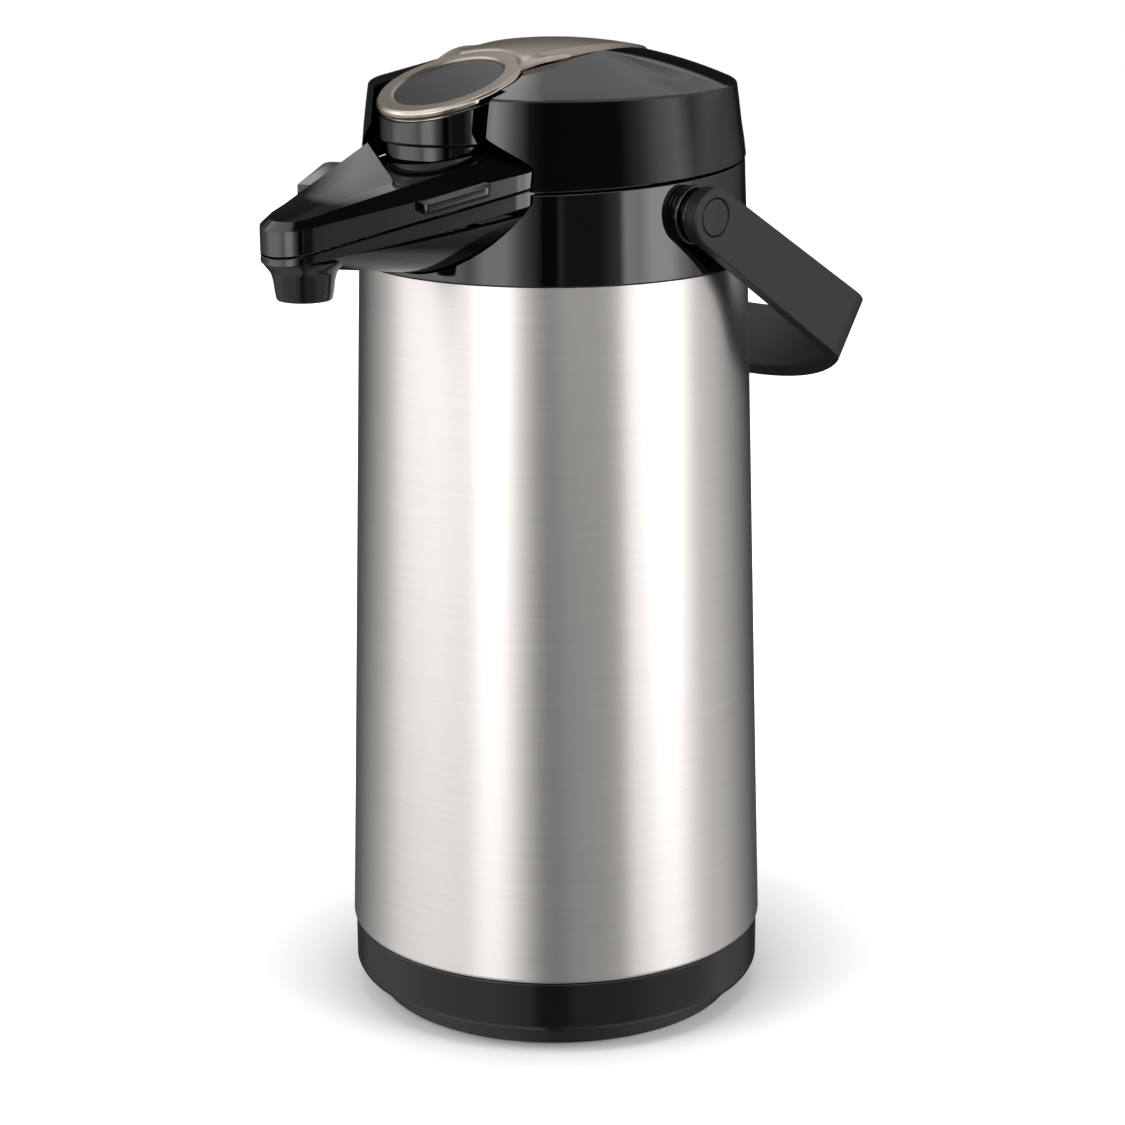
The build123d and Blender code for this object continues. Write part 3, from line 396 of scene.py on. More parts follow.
# Stainless steel 1.4301. A 240-grit belt leaves scratches a few centimetres long; they are
# drawn 0.4 mm apart, coarser than the real ones, so that they still show.
brushed, tree, shader = paint("stainless_steel_brushed", {
    "Metallic": 1.0, "Anisotropic": 0.75, "Anisotropic Rotation": 0.25,
})
place = node(tree, "ShaderNodeTexCoord").outputs["Object"]
split = node(tree, "ShaderNodeSeparateXYZ", {0: place})
turn = node(tree, "ShaderNodeMath", {0: split.outputs["Y"], 1: split.outputs["X"]}, operation="ARCTAN2")
scratches = []
for length, gap in ((30, 0.4), (90, 2.2)):
    along = {0: turn.outputs[0], 1: JACKET_FOOT_R / length}
    along = node(tree, "ShaderNodeMath", along, operation="MULTIPLY")
    up = {0: split.outputs["Z"], 1: 1 / (gap * MM)}
    up = node(tree, "ShaderNodeMath", up, operation="MULTIPLY")
    laid = node(tree, "ShaderNodeCombineXYZ", {"X": along.outputs[0], "Z": up.outputs[0]})
    laid = {"Vector": laid.outputs[0], "Scale": 1.0, "Detail": 3.0}
    scratches.append(node(tree, "ShaderNodeTexNoise", laid).outputs["Fac"])
fine, broad = scratches
roughen(tree, shader, fine, 0.31, 0.34, 0.3, 0.7)
tint(tree, shader, blend(tree, 0.35, fine, broad), "#dad6d2", "#efebe8")
tangent = node(tree, "ShaderNodeTangent", direction_type="RADIAL", axis="Z")
tree.links.new(tangent.outputs[0], shader.inputs["Tangent"])
relief(tree, shader, fine, 0.0012)

jacket = lathe("steel_sleeve", [
    (JACKET_TOP_R, JACKET_TOP),
    (jacket_r(JACKET_LOW), JACKET_LOW, HEM_R),
    (JACKET_FOOT_R - HEM_DEPTH, JACKET_LOW),
    (JACKET_FOOT_R - HEM_DEPTH, JACKET_LOW + HEM_HEIGHT),
    (jacket_r(JACKET_LOW + HEM_HEIGHT) - SHEET, JACKET_LOW + HEM_HEIGHT),
    (JACKET_TOP_R - SHEET, JACKET_TOP),
])
dress(jacket, brushed, "jug", "jacket", "steel_jacket")


# -------------------------------- base
# Polished black ABS moulding whose spigot is pushed up into the jacket. Its lower edge turns
# in over the foot, which is clipped through the hole in its floor.

BASE_R = 82.2
BASE_TOP = 29.4
BASE_LOW = 8.2
LIP_Z = 9.7
SPIGOT_R = 80.4
SPIGOT_WALL = 2.4
SPIGOT_TOP = 39.7
BASE_FLOOR = 11.2
HUB_HOLE_R = 9.0


def polished_black(name, colour, roughness):
    """Black ABS from a polished mould: near black, with a shallow wave of shrinkage."""
    feeds = {"Roughness": roughness, "IOR": 1.6}
    return clouded(name, feeds, 25, 1.0, colour, "#070708", depth=0.008)


gloss = polished_black("black_abs_polished", "#020203", 0.04)

base = lathe("base_moulding", [
    (BASE_R, BASE_TOP, 0.4),
    (BASE_R, 11.6, 1.2),
    (BASE_R - 0.9, LIP_Z, 0.5),
    (BASE_R - 3.4, BASE_LOW, 0.4),
    (HUB_HOLE_R, BASE_LOW),
    (HUB_HOLE_R, BASE_FLOOR),
    (SPIGOT_R - SPIGOT_WALL, BASE_FLOOR),
    (SPIGOT_R - SPIGOT_WALL, SPIGOT_TOP),
    (SPIGOT_R, SPIGOT_TOP),
    (SPIGOT_R, BASE_TOP),
])
dress(base, gloss, "jug", "black_gloss", "base_band")


# -------------------------------- collar
# Polished black ABS ring clipped into the top of the jacket. It carries the spout's tray, the
# handle's ears and the lid's hinge, and its top edge climbs slightly towards the back.

COLLAR_LOW = 300.1
COLLAR_FOOT_R = 75.4
COLLAR_TOP_R = 73.8
SEAM_Z = 336.3
SEAM_SLOPE = 0.046
SEAM_GAP = 0.9
COLLAR_WALL = 2.4
SHELF_R = 62.0
SHELF_TOP = COLLAR_LOW + 3.1
NECK_IN_R = 71.8         # of the neck that the collar pushes down into the jacket
NECK_R = 74.2
NECK_LOW = COLLAR_LOW - 10
EAR_R = 11.0
EAR_ROOT = 70.9
EAR_STEP = 75.6
EAR_FACE = 77.2
HANDLE_Z = 323.1
MOUTH_HALF = 47.4
MOUTH_LOW = 301.6
IN_FRONT = -120          # cutting tools reach this far forward
HINGE_Y = 78.5
HINGE_Z = 340.0
BARREL_R = 4.6
PIN_HOLE_R = 2.0
HINGE_HALF = 24.0
KNUCKLE_HALF = 13.0
LUG_FROM = KNUCKLE_HALF + 0.3


def turned_along_x(name, corners, x_side=1, centre=(0, 0), turns=96):
    """A closed (radius, distance along X) outline turned about a line along X."""
    outline = rounded(corners, 4)
    points = []
    for k in range(turns):
        turn = 2 * math.pi * k / turns
        for r, x in outline:
            points.append((x * x_side, centre[0] + r * math.cos(turn), centre[1] + r * math.sin(turn)))
    return piece(name, points, wrap(turns, len(outline), True, True))


def solid_prism(name, outline, low, high, place=lambda x, y, z: (x, y, z)):
    """A filled outline raised between two levels."""
    points = [place(x, y, low) for x, y in outline] + [place(x, y, high) for x, y in outline]
    n = len(outline)
    faces = [tuple(range(n)), tuple(range(n, 2 * n))]
    faces += [(k, (k + 1) % n, n + (k + 1) % n, n + k) for k in range(n)]
    return piece(name, points, faces)


def boolean(target, tools, operation, degrees=30):
    """Cut a piece for good with others, which go, and shade the result again."""
    for tool in tools:
        step = target.modifiers.new("cut", "BOOLEAN")
        step.operation = operation
        step.solver = "EXACT"
        step.object = tool
    graph = bpy.context.evaluated_depsgraph_get()
    mesh = bpy.data.meshes.new_from_object(target.evaluated_get(graph))
    target.modifiers.clear()
    target.data = mesh
    shade(mesh, degrees)
    for tool in tools:
        bpy.data.objects.remove(tool)


def arc_points(centre, radius, start, end, steps):
    """Points on a circle between two angles in degrees."""
    out = []
    for k in range(steps + 1):
        turn = math.radians(start + (end - start) * k / steps)
        out.append((centre[0] + radius * math.cos(turn), centre[1] + radius * math.sin(turn)))
    return out


def through(a, b, c, steps=24):
    """Points on the circle through three points, from the first to the last."""
    (ax, ay), (bx, by), (cx, cy) = a, b, c
    d = 2 * (ax * (by - cy) + bx * (cy - ay) + cx * (ay - by))
    aa, bb, cc = ax * ax + ay * ay, bx * bx + by * by, cx * cx + cy * cy
    ux = (aa * (by - cy) + bb * (cy - ay) + cc * (ay - by)) / d
    uy = (aa * (cx - bx) + bb * (ax - cx) + cc * (bx - ax)) / d
    radius = math.hypot(ax - ux, ay - uy)
    start, mid, end = [math.atan2(y - uy, x - ux) for x, y in (a, b, c)]
    while mid < start:
        mid += 2 * math.pi
    while end < start:
        end += 2 * math.pi
    if mid > end:
        end -= 2 * math.pi
    return arc_points((ux, uy), radius, math.degrees(start), math.degrees(end), steps)


collar = lathe("collar_ring", [
    (COLLAR_FOOT_R, COLLAR_LOW, 0.35),
    (COLLAR_TOP_R, SEAM_Z - SEAM_GAP / 2, 0.45),
    (COLLAR_TOP_R - COLLAR_WALL, SEAM_Z - SEAM_GAP / 2, 0.3),
    (COLLAR_TOP_R - COLLAR_WALL, SHELF_TOP),
    (SHELF_R, SHELF_TOP),
    (SHELF_R, COLLAR_LOW),
    (NECK_IN_R, COLLAR_LOW),
    (NECK_IN_R, NECK_LOW),
    (NECK_R, NECK_LOW),
    (NECK_R, COLLAR_LOW),
], lean=SEAM_SLOPE, lean_above=SEAM_Z - 5)
side_z = SEAM_Z - 6
mouth = through((MOUTH_HALF, side_z), (0, MOUTH_LOW), (-MOUTH_HALF, side_z))
mouth += [(-MOUTH_HALF, SEAM_Z + 20), (MOUTH_HALF, SEAM_Z + 20)]
opening = solid_prism("opening", mouth, IN_FRONT, 0, lambda x, y, z: (x, z, y))
boolean(collar, [opening], "DIFFERENCE")
ears = []
for side in (1, -1):
    ears.append(turned_along_x("ear", [
        (0, EAR_ROOT), (0, EAR_FACE), (EAR_R - 2.0, EAR_FACE), (EAR_R - 2.0, EAR_STEP),
        (EAR_R, EAR_STEP, 0.8), (EAR_R, EAR_ROOT),
    ], side, (0, HANDLE_Z)))
for side in (1, -1):
    ears.append(turned_along_x("lug", [
        (PIN_HOLE_R, LUG_FROM), (BARREL_R, LUG_FROM, 0.4), (BARREL_R, HINGE_HALF, 0.6),
        (PIN_HOLE_R, HINGE_HALF),
    ], side, (HINGE_Y, HINGE_Z), turns=48))
    web = [(COLLAR_TOP_R - 1.4, HINGE_Z - 17), (HINGE_Y + BARREL_R - 0.2, HINGE_Z),
           (HINGE_Y + 2.2, HINGE_Z), (HINGE_Y - 2.0, HINGE_Z), (COLLAR_TOP_R - 1.4, HINGE_Z - 3.5)]
    reach = (side * LUG_FROM, side * HINGE_HALF)
    ears.append(solid_prism("web", web, *reach, lambda y, z, x: (x, y, z)))
for part in ears:
    dress(part, gloss, "jug", "black_gloss")
    part.name = "collar_" + part.name
dress(collar, gloss, "jug", "black_gloss", "collar")


# -------------------------------- lid
# Polished black ABS dome on a conical skirt, hinged at the back. Each side of the dome is cut
# down to a facet that meets the dome in a sharp line. The front is open for spout and lever.

LID_FOOT_R = 74.2
RIM_R = 70.5
RIM_Z = 366.8
CROWN_Z = 381.9
LID_WALL = 2.4
DOME_R = (RIM_R ** 2 + (CROWN_Z - RIM_Z) ** 2) / (2 * (CROWN_Z - RIM_Z))
RIM_ROUND = 1.3          # how far in the dome's edge starts to turn down
CREASE = [  # degrees from the X axis towards the back, and radius of the facet's upper edge
    (-90, 25.0), (-40, 25.0), (-21, 25.4), (-9, 26.2), (-3.8, 27.1), (0, 28.9), (4.5, 32.0),
    (7.5, 37.5), (10.6, 44.2), (13.2, 50.2), (15.7, 55.8), (19.4, 63.5), (23.0, RIM_R),
]
LID_TURNS = 288


def dome_z(r):
    """Height of the dome at a distance from the axis."""
    return CROWN_Z - DOME_R + math.sqrt(DOME_R ** 2 - r ** 2)


def crease_r(turn):
    """Radius at which the side facet begins, at an angle in degrees from the X axis."""
    side = turn if abs(turn) <= 90 else math.copysign(180, turn) - turn
    if side >= CREASE[-1][0]:
        return RIM_R
    for (a, r), (b, s) in zip(CREASE, CREASE[1:]):
        if side <= b:
            return r + (s - r) * (side - a) / (b - a)


def lid_outline(turn):
    """The lid's section at an angle: (radius, height) from the crown out and back inside it."""
    split = min(crease_r(turn), RIM_R - RIM_ROUND)
    out = [(split * k / 16, dome_z(split * k / 16)) for k in range(1, 17)]
    top = dome_z(split)
    for k in range(1, 5):
        share = k / 4
        out.append((split + (RIM_R - 1.2 - split) * share, top + (RIM_Z + 0.45 - top) * share))
    out += [(RIM_R - 0.5, RIM_Z + 0.05), (RIM_R - 0.05, RIM_Z - 0.6), (RIM_R + 0.08, RIM_Z - 1.4)]
    low = SEAM_Z + SEAM_GAP / 2
    slope = (LID_FOOT_R - RIM_R) / (RIM_Z - low)
    out += [(RIM_R + slope * (RIM_Z - z), z) for z in (RIM_Z - 6, RIM_Z - 15, low + 6, low + 0.4)]
    out += [(LID_FOOT_R - 0.35, low), (LID_FOOT_R - LID_WALL, low)]
    out += [(RIM_R - LID_WALL, RIM_Z - 2.5)]
    out += [(split * k / 4 * 0.93, dome_z(split * k / 4) - LID_WALL - 0.2) for k in (4, 3, 2, 1)]
    return out


def on_crease(edge):
    """True for an edge that lies along the upper edge of a side facet."""
    for vert in edge.verts:
        x, y, z = vert.co / MM
        r = math.hypot(x, y)
        edge_r = crease_r(math.degrees(math.atan2(y, x)))
        if z < RIM_Z - 1 or edge_r > RIM_R - 1.5:
            return False
        if abs(r - min(edge_r, RIM_R - RIM_ROUND)) > 0.05 or abs(z - dome_z(r)) > 0.05:
            return False
    return True


turns = [360 * k / LID_TURNS - 180 for k in range(LID_TURNS)]
points = []
for turn in turns:
    for r, z in lid_outline(turn):
        x, y = r * math.cos(math.radians(turn)), r * math.sin(math.radians(turn))
        lean = SEAM_SLOPE * y if z < SEAM_Z + 8 else 0
        points.append((x, y, z + lean))
columns = len(points) // len(turns)
faces = wrap(len(turns), columns, True)
points += [(0, 0, CROWN_Z), (0, 0, CROWN_Z - LID_WALL)]
for k in range(len(turns)):
    m = (k + 1) % len(turns)
    faces.append((len(points) - 2, k * columns, m * columns))
    faces.append((len(points) - 1, m * columns + columns - 1, k * columns + columns - 1))
lid = piece("lid_dome", points, faces, 25, on_crease)


# -------------------------------- lever outline
# The lever lies in a keyhole-shaped opening of the lid: its round disc over the spout and its
# leaf-shaped strap, which runs back over the crown to the pivot.

DISC_R = 27.9
DISC_Y = -54.0
DISC_Z = 370.9
DISC_TILT = math.radians(19.5)
BADGE_R = 20.9
STRAP = [  # half width and place along Y
    (22.2, -38.0), (23.9, -31.0), (25.3, -24.0), (26.4, -16.0), (26.6, -9.0), (26.0, -1.0),
    (24.6, 7.0), (22.4, 15.0), (19.6, 23.0), (16.2, 31.0), (12.0, 38.5), (7.6, 44.5), (3.4, 48.4),
]
LEVER_GAP = 0.8
LEVER_MOUTH = 31.7       # half width of the lid's opening in front of the disc
KEYHOLE_LOW = 360.0
OVERHEAD = 400           # cutting tools reach this high


def strap_half(y):
    """Half the strap's width at a place along it."""
    for (w, a), (v, b) in zip(STRAP, STRAP[1:]):
        if y <= b:
            return w + (v - w) * (y - a) / (b - a)
    return STRAP[-1][0]


keyhole = [(w + LEVER_GAP, y) for w, y in STRAP] + [(0, STRAP[-1][1] + LEVER_GAP)]
keyhole += [(-w - LEVER_GAP, y) for w, y in reversed(STRAP)]
half_turn = math.degrees(math.asin((STRAP[0][0] + LEVER_GAP) / (DISC_R + LEVER_GAP)))
keyhole += arc_points((0, DISC_Y), DISC_R + LEVER_GAP, 90 + half_turn, 450 - half_turn, 48)[1:-1]
mouth = [(-MOUTH_HALF, SEAM_Z - 40), (-MOUTH_HALF, 341.0), (-46.9, 343.0), (-45.4, 344.6),
         (-43.4, 346.0), (-LEVER_MOUTH - 1.2, 352.4), (-LEVER_MOUTH, 353.4), (-LEVER_MOUTH, RIM_Z + 30)]
mouth += [(-x, z) for x, z in reversed(mouth)]
boolean(lid, [
    solid_prism("keyhole", keyhole, KEYHOLE_LOW, OVERHEAD),
    solid_prism("front", mouth, IN_FRONT, DISC_Y, lambda x, y, z: (x, z, y)),
], "DIFFERENCE", 25)
shade(lid.data, 25, on_crease)
dress(lid, gloss, "lid", "black_gloss", "lid_shell")

knuckle = turned_along_x("lid_knuckle", [
    (PIN_HOLE_R, -KNUCKLE_HALF), (BARREL_R, -KNUCKLE_HALF, 0.5), (BARREL_R, KNUCKLE_HALF, 0.5),
    (PIN_HOLE_R, KNUCKLE_HALF),
], 1, (HINGE_Y, HINGE_Z), turns=48)
dress(knuckle, gloss, "lid", "black_gloss")
web = [(LID_FOOT_R - 1.8, HINGE_Z + 1.5), (HINGE_Y + 1.0, HINGE_Z + 2.0),
       (HINGE_Y + BARREL_R - 0.3, HINGE_Z + 1.0), (HINGE_Y + 3.2, HINGE_Z + 5.0),
       (LID_FOOT_R - 2.6, HINGE_Z + 16)]
web = solid_prism("lid_hinge_web", web, -KNUCKLE_HALF, KNUCKLE_HALF, lambda y, z, x: (x, y, z))
dress(web, gloss, "lid", "black_gloss")


# -------------------------------- lever plate
# Pressed aluminium, anodised champagne: a ring with two polished steps, and a strap raised
# along its middle so that a lighter slope runs down each side.

SLOPE = math.tan(DISC_TILT)
PLATE = 2.2
RAISED = 0.8
LIFT = 0.15              # of the strap's edge above the dome
EDGE_DROP = 0.35
ROOT_LIFT = 0.02         # of the strap's root above the ring
ROOT_R = 0.943 * 27.2    # of the arc at the root, which lies on the ring, seen from above
ROOT_TURN = 55
ROOT_BLEND = 0.02, 0.30  # share of the length in which the crest rises, and more for the edge
CREST = 0.70, 0.22, 0.93  # share of the width that is raised: at the root, gained, at most
RAISED_SHARE = 0.7       # places across the strap, of which the raised part's are fitted to it
SLOPE_SHARES = {0.85: 0.5, 0.93: 0.8}
SHARES = (-1, -0.985, -0.93, -0.85, -0.7, -0.5, -0.25, 0, 0.25, 0.5, 0.7, 0.85, 0.93, 0.985, 1)
DISC_TURNS = 192
UNDER_RING_R = 18.0


def on_disc(x, y, z):
    """A point of the disc's own frame, x across, y up its slope and z out of it."""
    return (x, DISC_Y + y * math.cos(DISC_TILT) - z * math.sin(DISC_TILT),
            DISC_Z + y * math.sin(DISC_TILT) + z * math.cos(DISC_TILT))


def disc_lathe(name, corners):
    """An outline turned about the tilted disc's own axis."""
    outline = rounded(corners)
    points = []
    for k in range(DISC_TURNS):
        turn = 2 * math.pi * k / DISC_TURNS
        for r, z in outline:
            points.append(on_disc(r * math.cos(turn), r * math.sin(turn), z))
    return piece(name, points, wrap(DISC_TURNS, len(outline), True, True))


# Anodised aluminium 6463, bead-blasted and dyed champagne: satin, slightly warm, with a
# fine grain of the blasting that is drawn 0.35 mm coarse.
satin = clouded("anodised_aluminium_champagne", {"Metallic": 1.0}, 0.35, 2.0, "#b3a79b", "#bfb4a8",
                (0.26, 0.34), 0.002)

# The same metal, its edges turned and polished before anodising.
bright = clouded("anodised_aluminium_polished", {"Metallic": 1.0}, 0.8, 2.0, "#c9beb2", "#d2c8bd",
                 (0.10, 0.16))

ring = disc_lathe("lever_ring", [
    (BADGE_R, -2.0),
    (BADGE_R, -0.7),
    (BADGE_R + 0.9, 0, 0.3),
    (DISC_R - 1.1, 0, 0.25),
    (DISC_R - 0.9, -0.5),
    (DISC_R - 0.9, -1.0),
    (UNDER_RING_R, -2.2),
    (UNDER_RING_R, -2.0),
])
dress(ring, satin, "lever", "champagne")
steps = disc_lathe("lever_ring_steps", [
    (UNDER_RING_R, -2.2),
    (DISC_R - 1.3, -0.4),
    (DISC_R - 0.8, -0.35, 0.2),
    (DISC_R, -1.1, 0.5),
    (DISC_R + 0.1, -2.2, 0.7),
    (DISC_R - 0.2, -3.2, 0.3),
    (DISC_R - 1.0, -3.35),
    (DISC_R - 1.0, -3.65),
    (DISC_R - 0.5, -3.75, 0.2),
    (DISC_R - 1.1, -4.4, 0.3),
    (DISC_R - 2.4, -4.6),
    (UNDER_RING_R, -4.6),
])
dress(steps, bright, "lever", "champagne")

rows = 72
top, under, line = [], [], set()
for row in range(rows + 1):
    share = row / rows
    y_edge = STRAP[0][1] + share * (STRAP[-1][1] - STRAP[0][1])
    wide = strap_half(y_edge)
    band = min(CREST[2], CREST[0] + CREST[1] * share)
    for u in SHARES:
        if abs(u) in SLOPE_SHARES:
            u = math.copysign(band + (1 - band) * SLOPE_SHARES[abs(u)], u)
        elif abs(u) <= RAISED_SHARE:
            u *= band / RAISED_SHARE
        bulge = DISC_Y + ROOT_R * math.cos(math.radians(ROOT_TURN * u)) - STRAP[0][1]
        y = y_edge + bulge * (1 - share) ** 3
        x = u * wide
        out = max(0, (abs(u) - band) / (1 - band))
        z = dome_z(math.hypot(x, y)) + LIFT + RAISED * (1 - out) - (EDGE_DROP if abs(u) == 1 else 0)
        plane = DISC_Z + SLOPE * (y - DISC_Y) + ROOT_LIFT
        start = min(1, share / (ROOT_BLEND[0] + ROOT_BLEND[1] * out))
        z = plane + (z - plane) * start * start * (3 - 2 * start)
        top.append((x, y, z))
        under.append((x * 0.985, y, z - PLATE))
        if abs(abs(u) - band) < 1e-6:
            line.add((round(x, 2), round(y, 2)))
columns = len(SHARES)
n = len(top)
faces = wrap(rows + 1, columns)
faces += [tuple(n + k for k in reversed(face)) for face in faces]
for k in range(rows):
    for column in (0, columns - 1):
        a, b = k * columns + column, (k + 1) * columns + column
        faces.append((a, b, n + b, n + a))
for k in range(columns - 1):
    for start in (0, rows * columns):
        faces.append((start + k, start + k + 1, n + start + k + 1, n + start + k))


def on_line(edge):
    """True for an edge of the crisp line between the strap's top and its slope."""
    return all((round(v.co.x / MM, 2), round(v.co.y / MM, 2)) in line for v in edge.verts)


strap = piece("lever_strap", top + under, faces, 14, on_line)
dress(strap, satin, "lever", "champagne", "lever_plate")


# -------------------------------- badge
# Dark grey acrylic disc let into the ring, a little below its face. It rises slightly to the
# middle, has a rounded edge, and is left plain.

BADGE_GAP = 0.05
smoke = clouded("acrylic_smoke_grey", {"Roughness": 0.22, "IOR": 1.37}, 0.5, 3.0, "#2a2a2b", "#343435",
                depth=0.002)
badge = disc_lathe("badge_plate", [
    (0.0, -2.0), (BADGE_R - BADGE_GAP, -2.0), (BADGE_R - BADGE_GAP, -0.9, 0.3), (0.0, -0.75),
])
dress(badge, smoke, "lever", "badge", "badge_disc")


# -------------------------------- lever skirt
# Black cup under the disc, with a narrower ring below it that runs in the spout's well. Its
# top follows the disc's slope, and its back is cut away over the pump.

SKIRT_R = 25.5
SKIRT_TOP = 372.0
SKIRT_UNDER = 4.4        # of the top below the disc's face
SKIRT_LOW = 349.5
LIP_R = 23.2
LIP_LOW = 343.5
BACK_CUT = [  # place along Y and height
    (-59.0, 340.0), (-59.0, 349.2), (-50.0, 353.6), (-44.0, 357.4), (-40.0, 361.0), (-40.0, 380.0),
    (-10.0, 380.0), (-10.0, 340.0),
]
skirt_points = rounded([
    (SKIRT_R, SKIRT_TOP), (SKIRT_R, SKIRT_LOW, 1.0), (LIP_R, SKIRT_LOW - 0.2, 0.5),
    (LIP_R, LIP_LOW, 0.5), (LIP_R - 2, LIP_LOW), (LIP_R - 2, SKIRT_LOW + 2),
    (SKIRT_R - 2, SKIRT_LOW + 2), (SKIRT_R - 2, SKIRT_TOP),
])
points = []
for k in range(DISC_TURNS):
    turn = 2 * math.pi * k / DISC_TURNS
    for r, z in skirt_points:
        x, y = r * math.cos(turn), r * math.sin(turn)
        if z > SKIRT_TOP - 1:
            z = DISC_Z + SLOPE * y - SKIRT_UNDER
        points.append((x, DISC_Y + y, z))
skirt = piece("lever_cup", points, wrap(DISC_TURNS, len(skirt_points), True, True))
back = solid_prism("back", BACK_CUT, -40, 40, lambda y, z, x: (x, y, z))
boolean(skirt, [back], "DIFFERENCE")
dress(skirt, gloss, "lever", "black_gloss", "lever_skirt")


# -------------------------------- upper spout cover
# Polished black ABS roof of the spout, which lifts with the lid: an upright band along the
# seam, a facet above it, and a flat top with a round well for the lever's skirt.

NOSE_Y = -125.1
NOSE_R = 15.4
FLANK = math.radians(23.8)
SPOUT_SEAM = 315.2
SPOUT_SLOPE = 0.2443
BAND_TOP = 325.0         # at BAND_Y
BAND_Y = -138
BAND_SLOPE = 0.205
RIDGE_HALF = 12.0
RIDGE_SPREAD = 0.361
ROOF_Z = 330.6
ROOF_SLOPE = 0.256
SPOUT_WALL = 2.2
CROWN = 0.7              # of the flat top across its width
CROWN_RUN = 20           # how far behind the nose's tip it is reached
CROWN_SHARES = (0.8, 0.6, 0.4, 0.2, 0.0)
ROOT_Y = -59.6
COVER_BACK = -50.0
WELL_R = 26.3
WELL_SWING = 14.0
NOSE_FRONT = NOSE_Y - NOSE_R
NOSE_STEPS = 32
FLANK_STEPS = 20


def spout_seam(y):
    """Height of the seam between the spout's two covers."""
    return SPOUT_SEAM + SPOUT_SLOPE * (y - NOSE_FRONT)


def flank_x(y):
    """Half the spout's width, at a place behind the nose."""
    return NOSE_R * math.cos(FLANK) + (y - NOSE_Y + NOSE_R * math.sin(FLANK)) * math.tan(FLANK)


def spout_stations(back):
    """Places along the spout's outline, from the back of the right flank round the nose.

    Each is (x, y, angle), the angle being the way out of the outline in degrees from the X axis.
    """
    touch = NOSE_Y - NOSE_R * math.sin(FLANK)
    turn = math.degrees(FLANK)
    right = []
    for k in range(FLANK_STEPS):
        y = back + (touch - back) * k / FLANK_STEPS
        right.append((min(flank_x(y), MOUTH_HALF - 0.7), y, -turn))
    nose = [(x, y, a) for (x, y), a in zip(
        arc_points((0, NOSE_Y), NOSE_R, -turn, -180 + turn, NOSE_STEPS),
        [-turn + (-180 + 2 * turn) * k / NOSE_STEPS for k in range(NOSE_STEPS + 1)])]
    left = [(-x, y, -180 - a) for x, y, a in reversed(right)]
    return right + nose + left


def ridge_point(x, y, angle):
    """Where the facet above a place of the outline meets the flat top."""
    turn = math.radians(angle)
    if y > NOSE_Y:
        half = RIDGE_HALF + RIDGE_SPREAD * (y - NOSE_Y)
        px, py = math.copysign(min(half, abs(x) - 2), x), y
    else:
        px = math.copysign(RIDGE_HALF * math.cos(turn), x)
        py = NOSE_Y + RIDGE_HALF * math.sin(turn)
    return px, py, ROOF_Z + ROOF_SLOPE * (py - NOSE_Y)


stations = spout_stations(COVER_BACK)
points = []
for x, y, angle in stations:
    low = spout_seam(y) + SEAM_GAP / 2
    rx, ry, rz = ridge_point(x, y, angle)
    points += [(x, y, low), (x, y, BAND_TOP + BAND_SLOPE * (y - BAND_Y)), (rx, ry, rz)]
    swell = min(1, (ry - NOSE_FRONT) / CROWN_RUN)
    for share in CROWN_SHARES:
        points.append((rx * share, ry, rz + CROWN * (1 - share ** 2) * swell))
levels = 3 + len(CROWN_SHARES)
faces = wrap(len(stations), levels)
roof = piece("spout_roof", points, faces, 20)
wall = roof.modifiers.new("wall", "SOLIDIFY")
wall.thickness = SPOUT_WALL * MM
wall.offset = -1
wall.use_even_offset = True
well = arc_points((0, DISC_Y), WELL_R, 180, 360, 48)
well += arc_points((0, DISC_Y + WELL_SWING), WELL_R, 0, 180, 48)
boolean(roof, [solid_prism("well", well, 300, OVERHEAD)], "DIFFERENCE", 20)
soft_edge = roof.modifiers.new("soft_edge", "BEVEL")
soft_edge.width = 0.55 * MM
soft_edge.segments = 3
soft_edge.limit_method = "ANGLE"
soft_edge.angle_limit = math.radians(24)
dress(roof, gloss, "lid", "black_gloss", "upper_spout_cover")


# -------------------------------- lower spout cover
# Black ABS tray under the spout, part of the jug: an upright band below the seam, then a step
# and a round belly, which runs into the collar.

BAND_NOSE = 3.3
BAND_ROOT = 6.4
BELLY_Z = 309.6
BELLY_SLOPE = -0.148
BELLY_R = 25.8
BELLY_SPREAD = 0.395
BELLY_STEP = 1.0
BELLY_WALL = 1.6
TRAY_END_R = 72.4
BAND_BACK = -55.0
BAND_IN = -BELLY_STEP - 0.8


def band_low(y):
    """Lower edge of the tray's upright band."""
    share = (y - NOSE_FRONT) / (ROOT_Y - NOSE_FRONT)
    return spout_seam(y) - BAND_NOSE - (BAND_ROOT - BAND_NOSE) * min(1, share * 1.6)


def belly_z(x, y):
    """Height of the belly, which is round across the spout and widens towards the jug."""
    radius = BELLY_R + BELLY_SPREAD * (y - NOSE_Y)
    round_part = radius - math.sqrt(radius ** 2 - min(abs(x), radius * 0.98) ** 2)
    return BELLY_Z + BELLY_SLOPE * (y - NOSE_Y) + round_part


foot_corners = rounded([(0, 0.0), (0, -1.0, 0.5), (BAND_IN, -1.0), (BAND_IN, 0.0)], 3)[1:-1]
points = []
stations = spout_stations(BAND_BACK)
for x, y, angle in stations:
    turn = math.radians(angle)
    top = spout_seam(y) - SEAM_GAP / 2
    tall = top - band_low(y)
    foot = [(p[0], p[1] + 1.0 - tall) for p in foot_corners]
    for out, drop in [(0, -0.3), (-0.25, 0)] + foot + [(BAND_IN, 0)]:
        points.append((x + out * math.cos(turn), y + out * math.sin(turn), top + drop))
columns = len(points) // len(stations)
tray_band = piece("tray_band", points, wrap(len(stations), columns, False, True), 25)
dress(tray_band, gloss, "jug", "black_gloss", "lower_spout_cover")

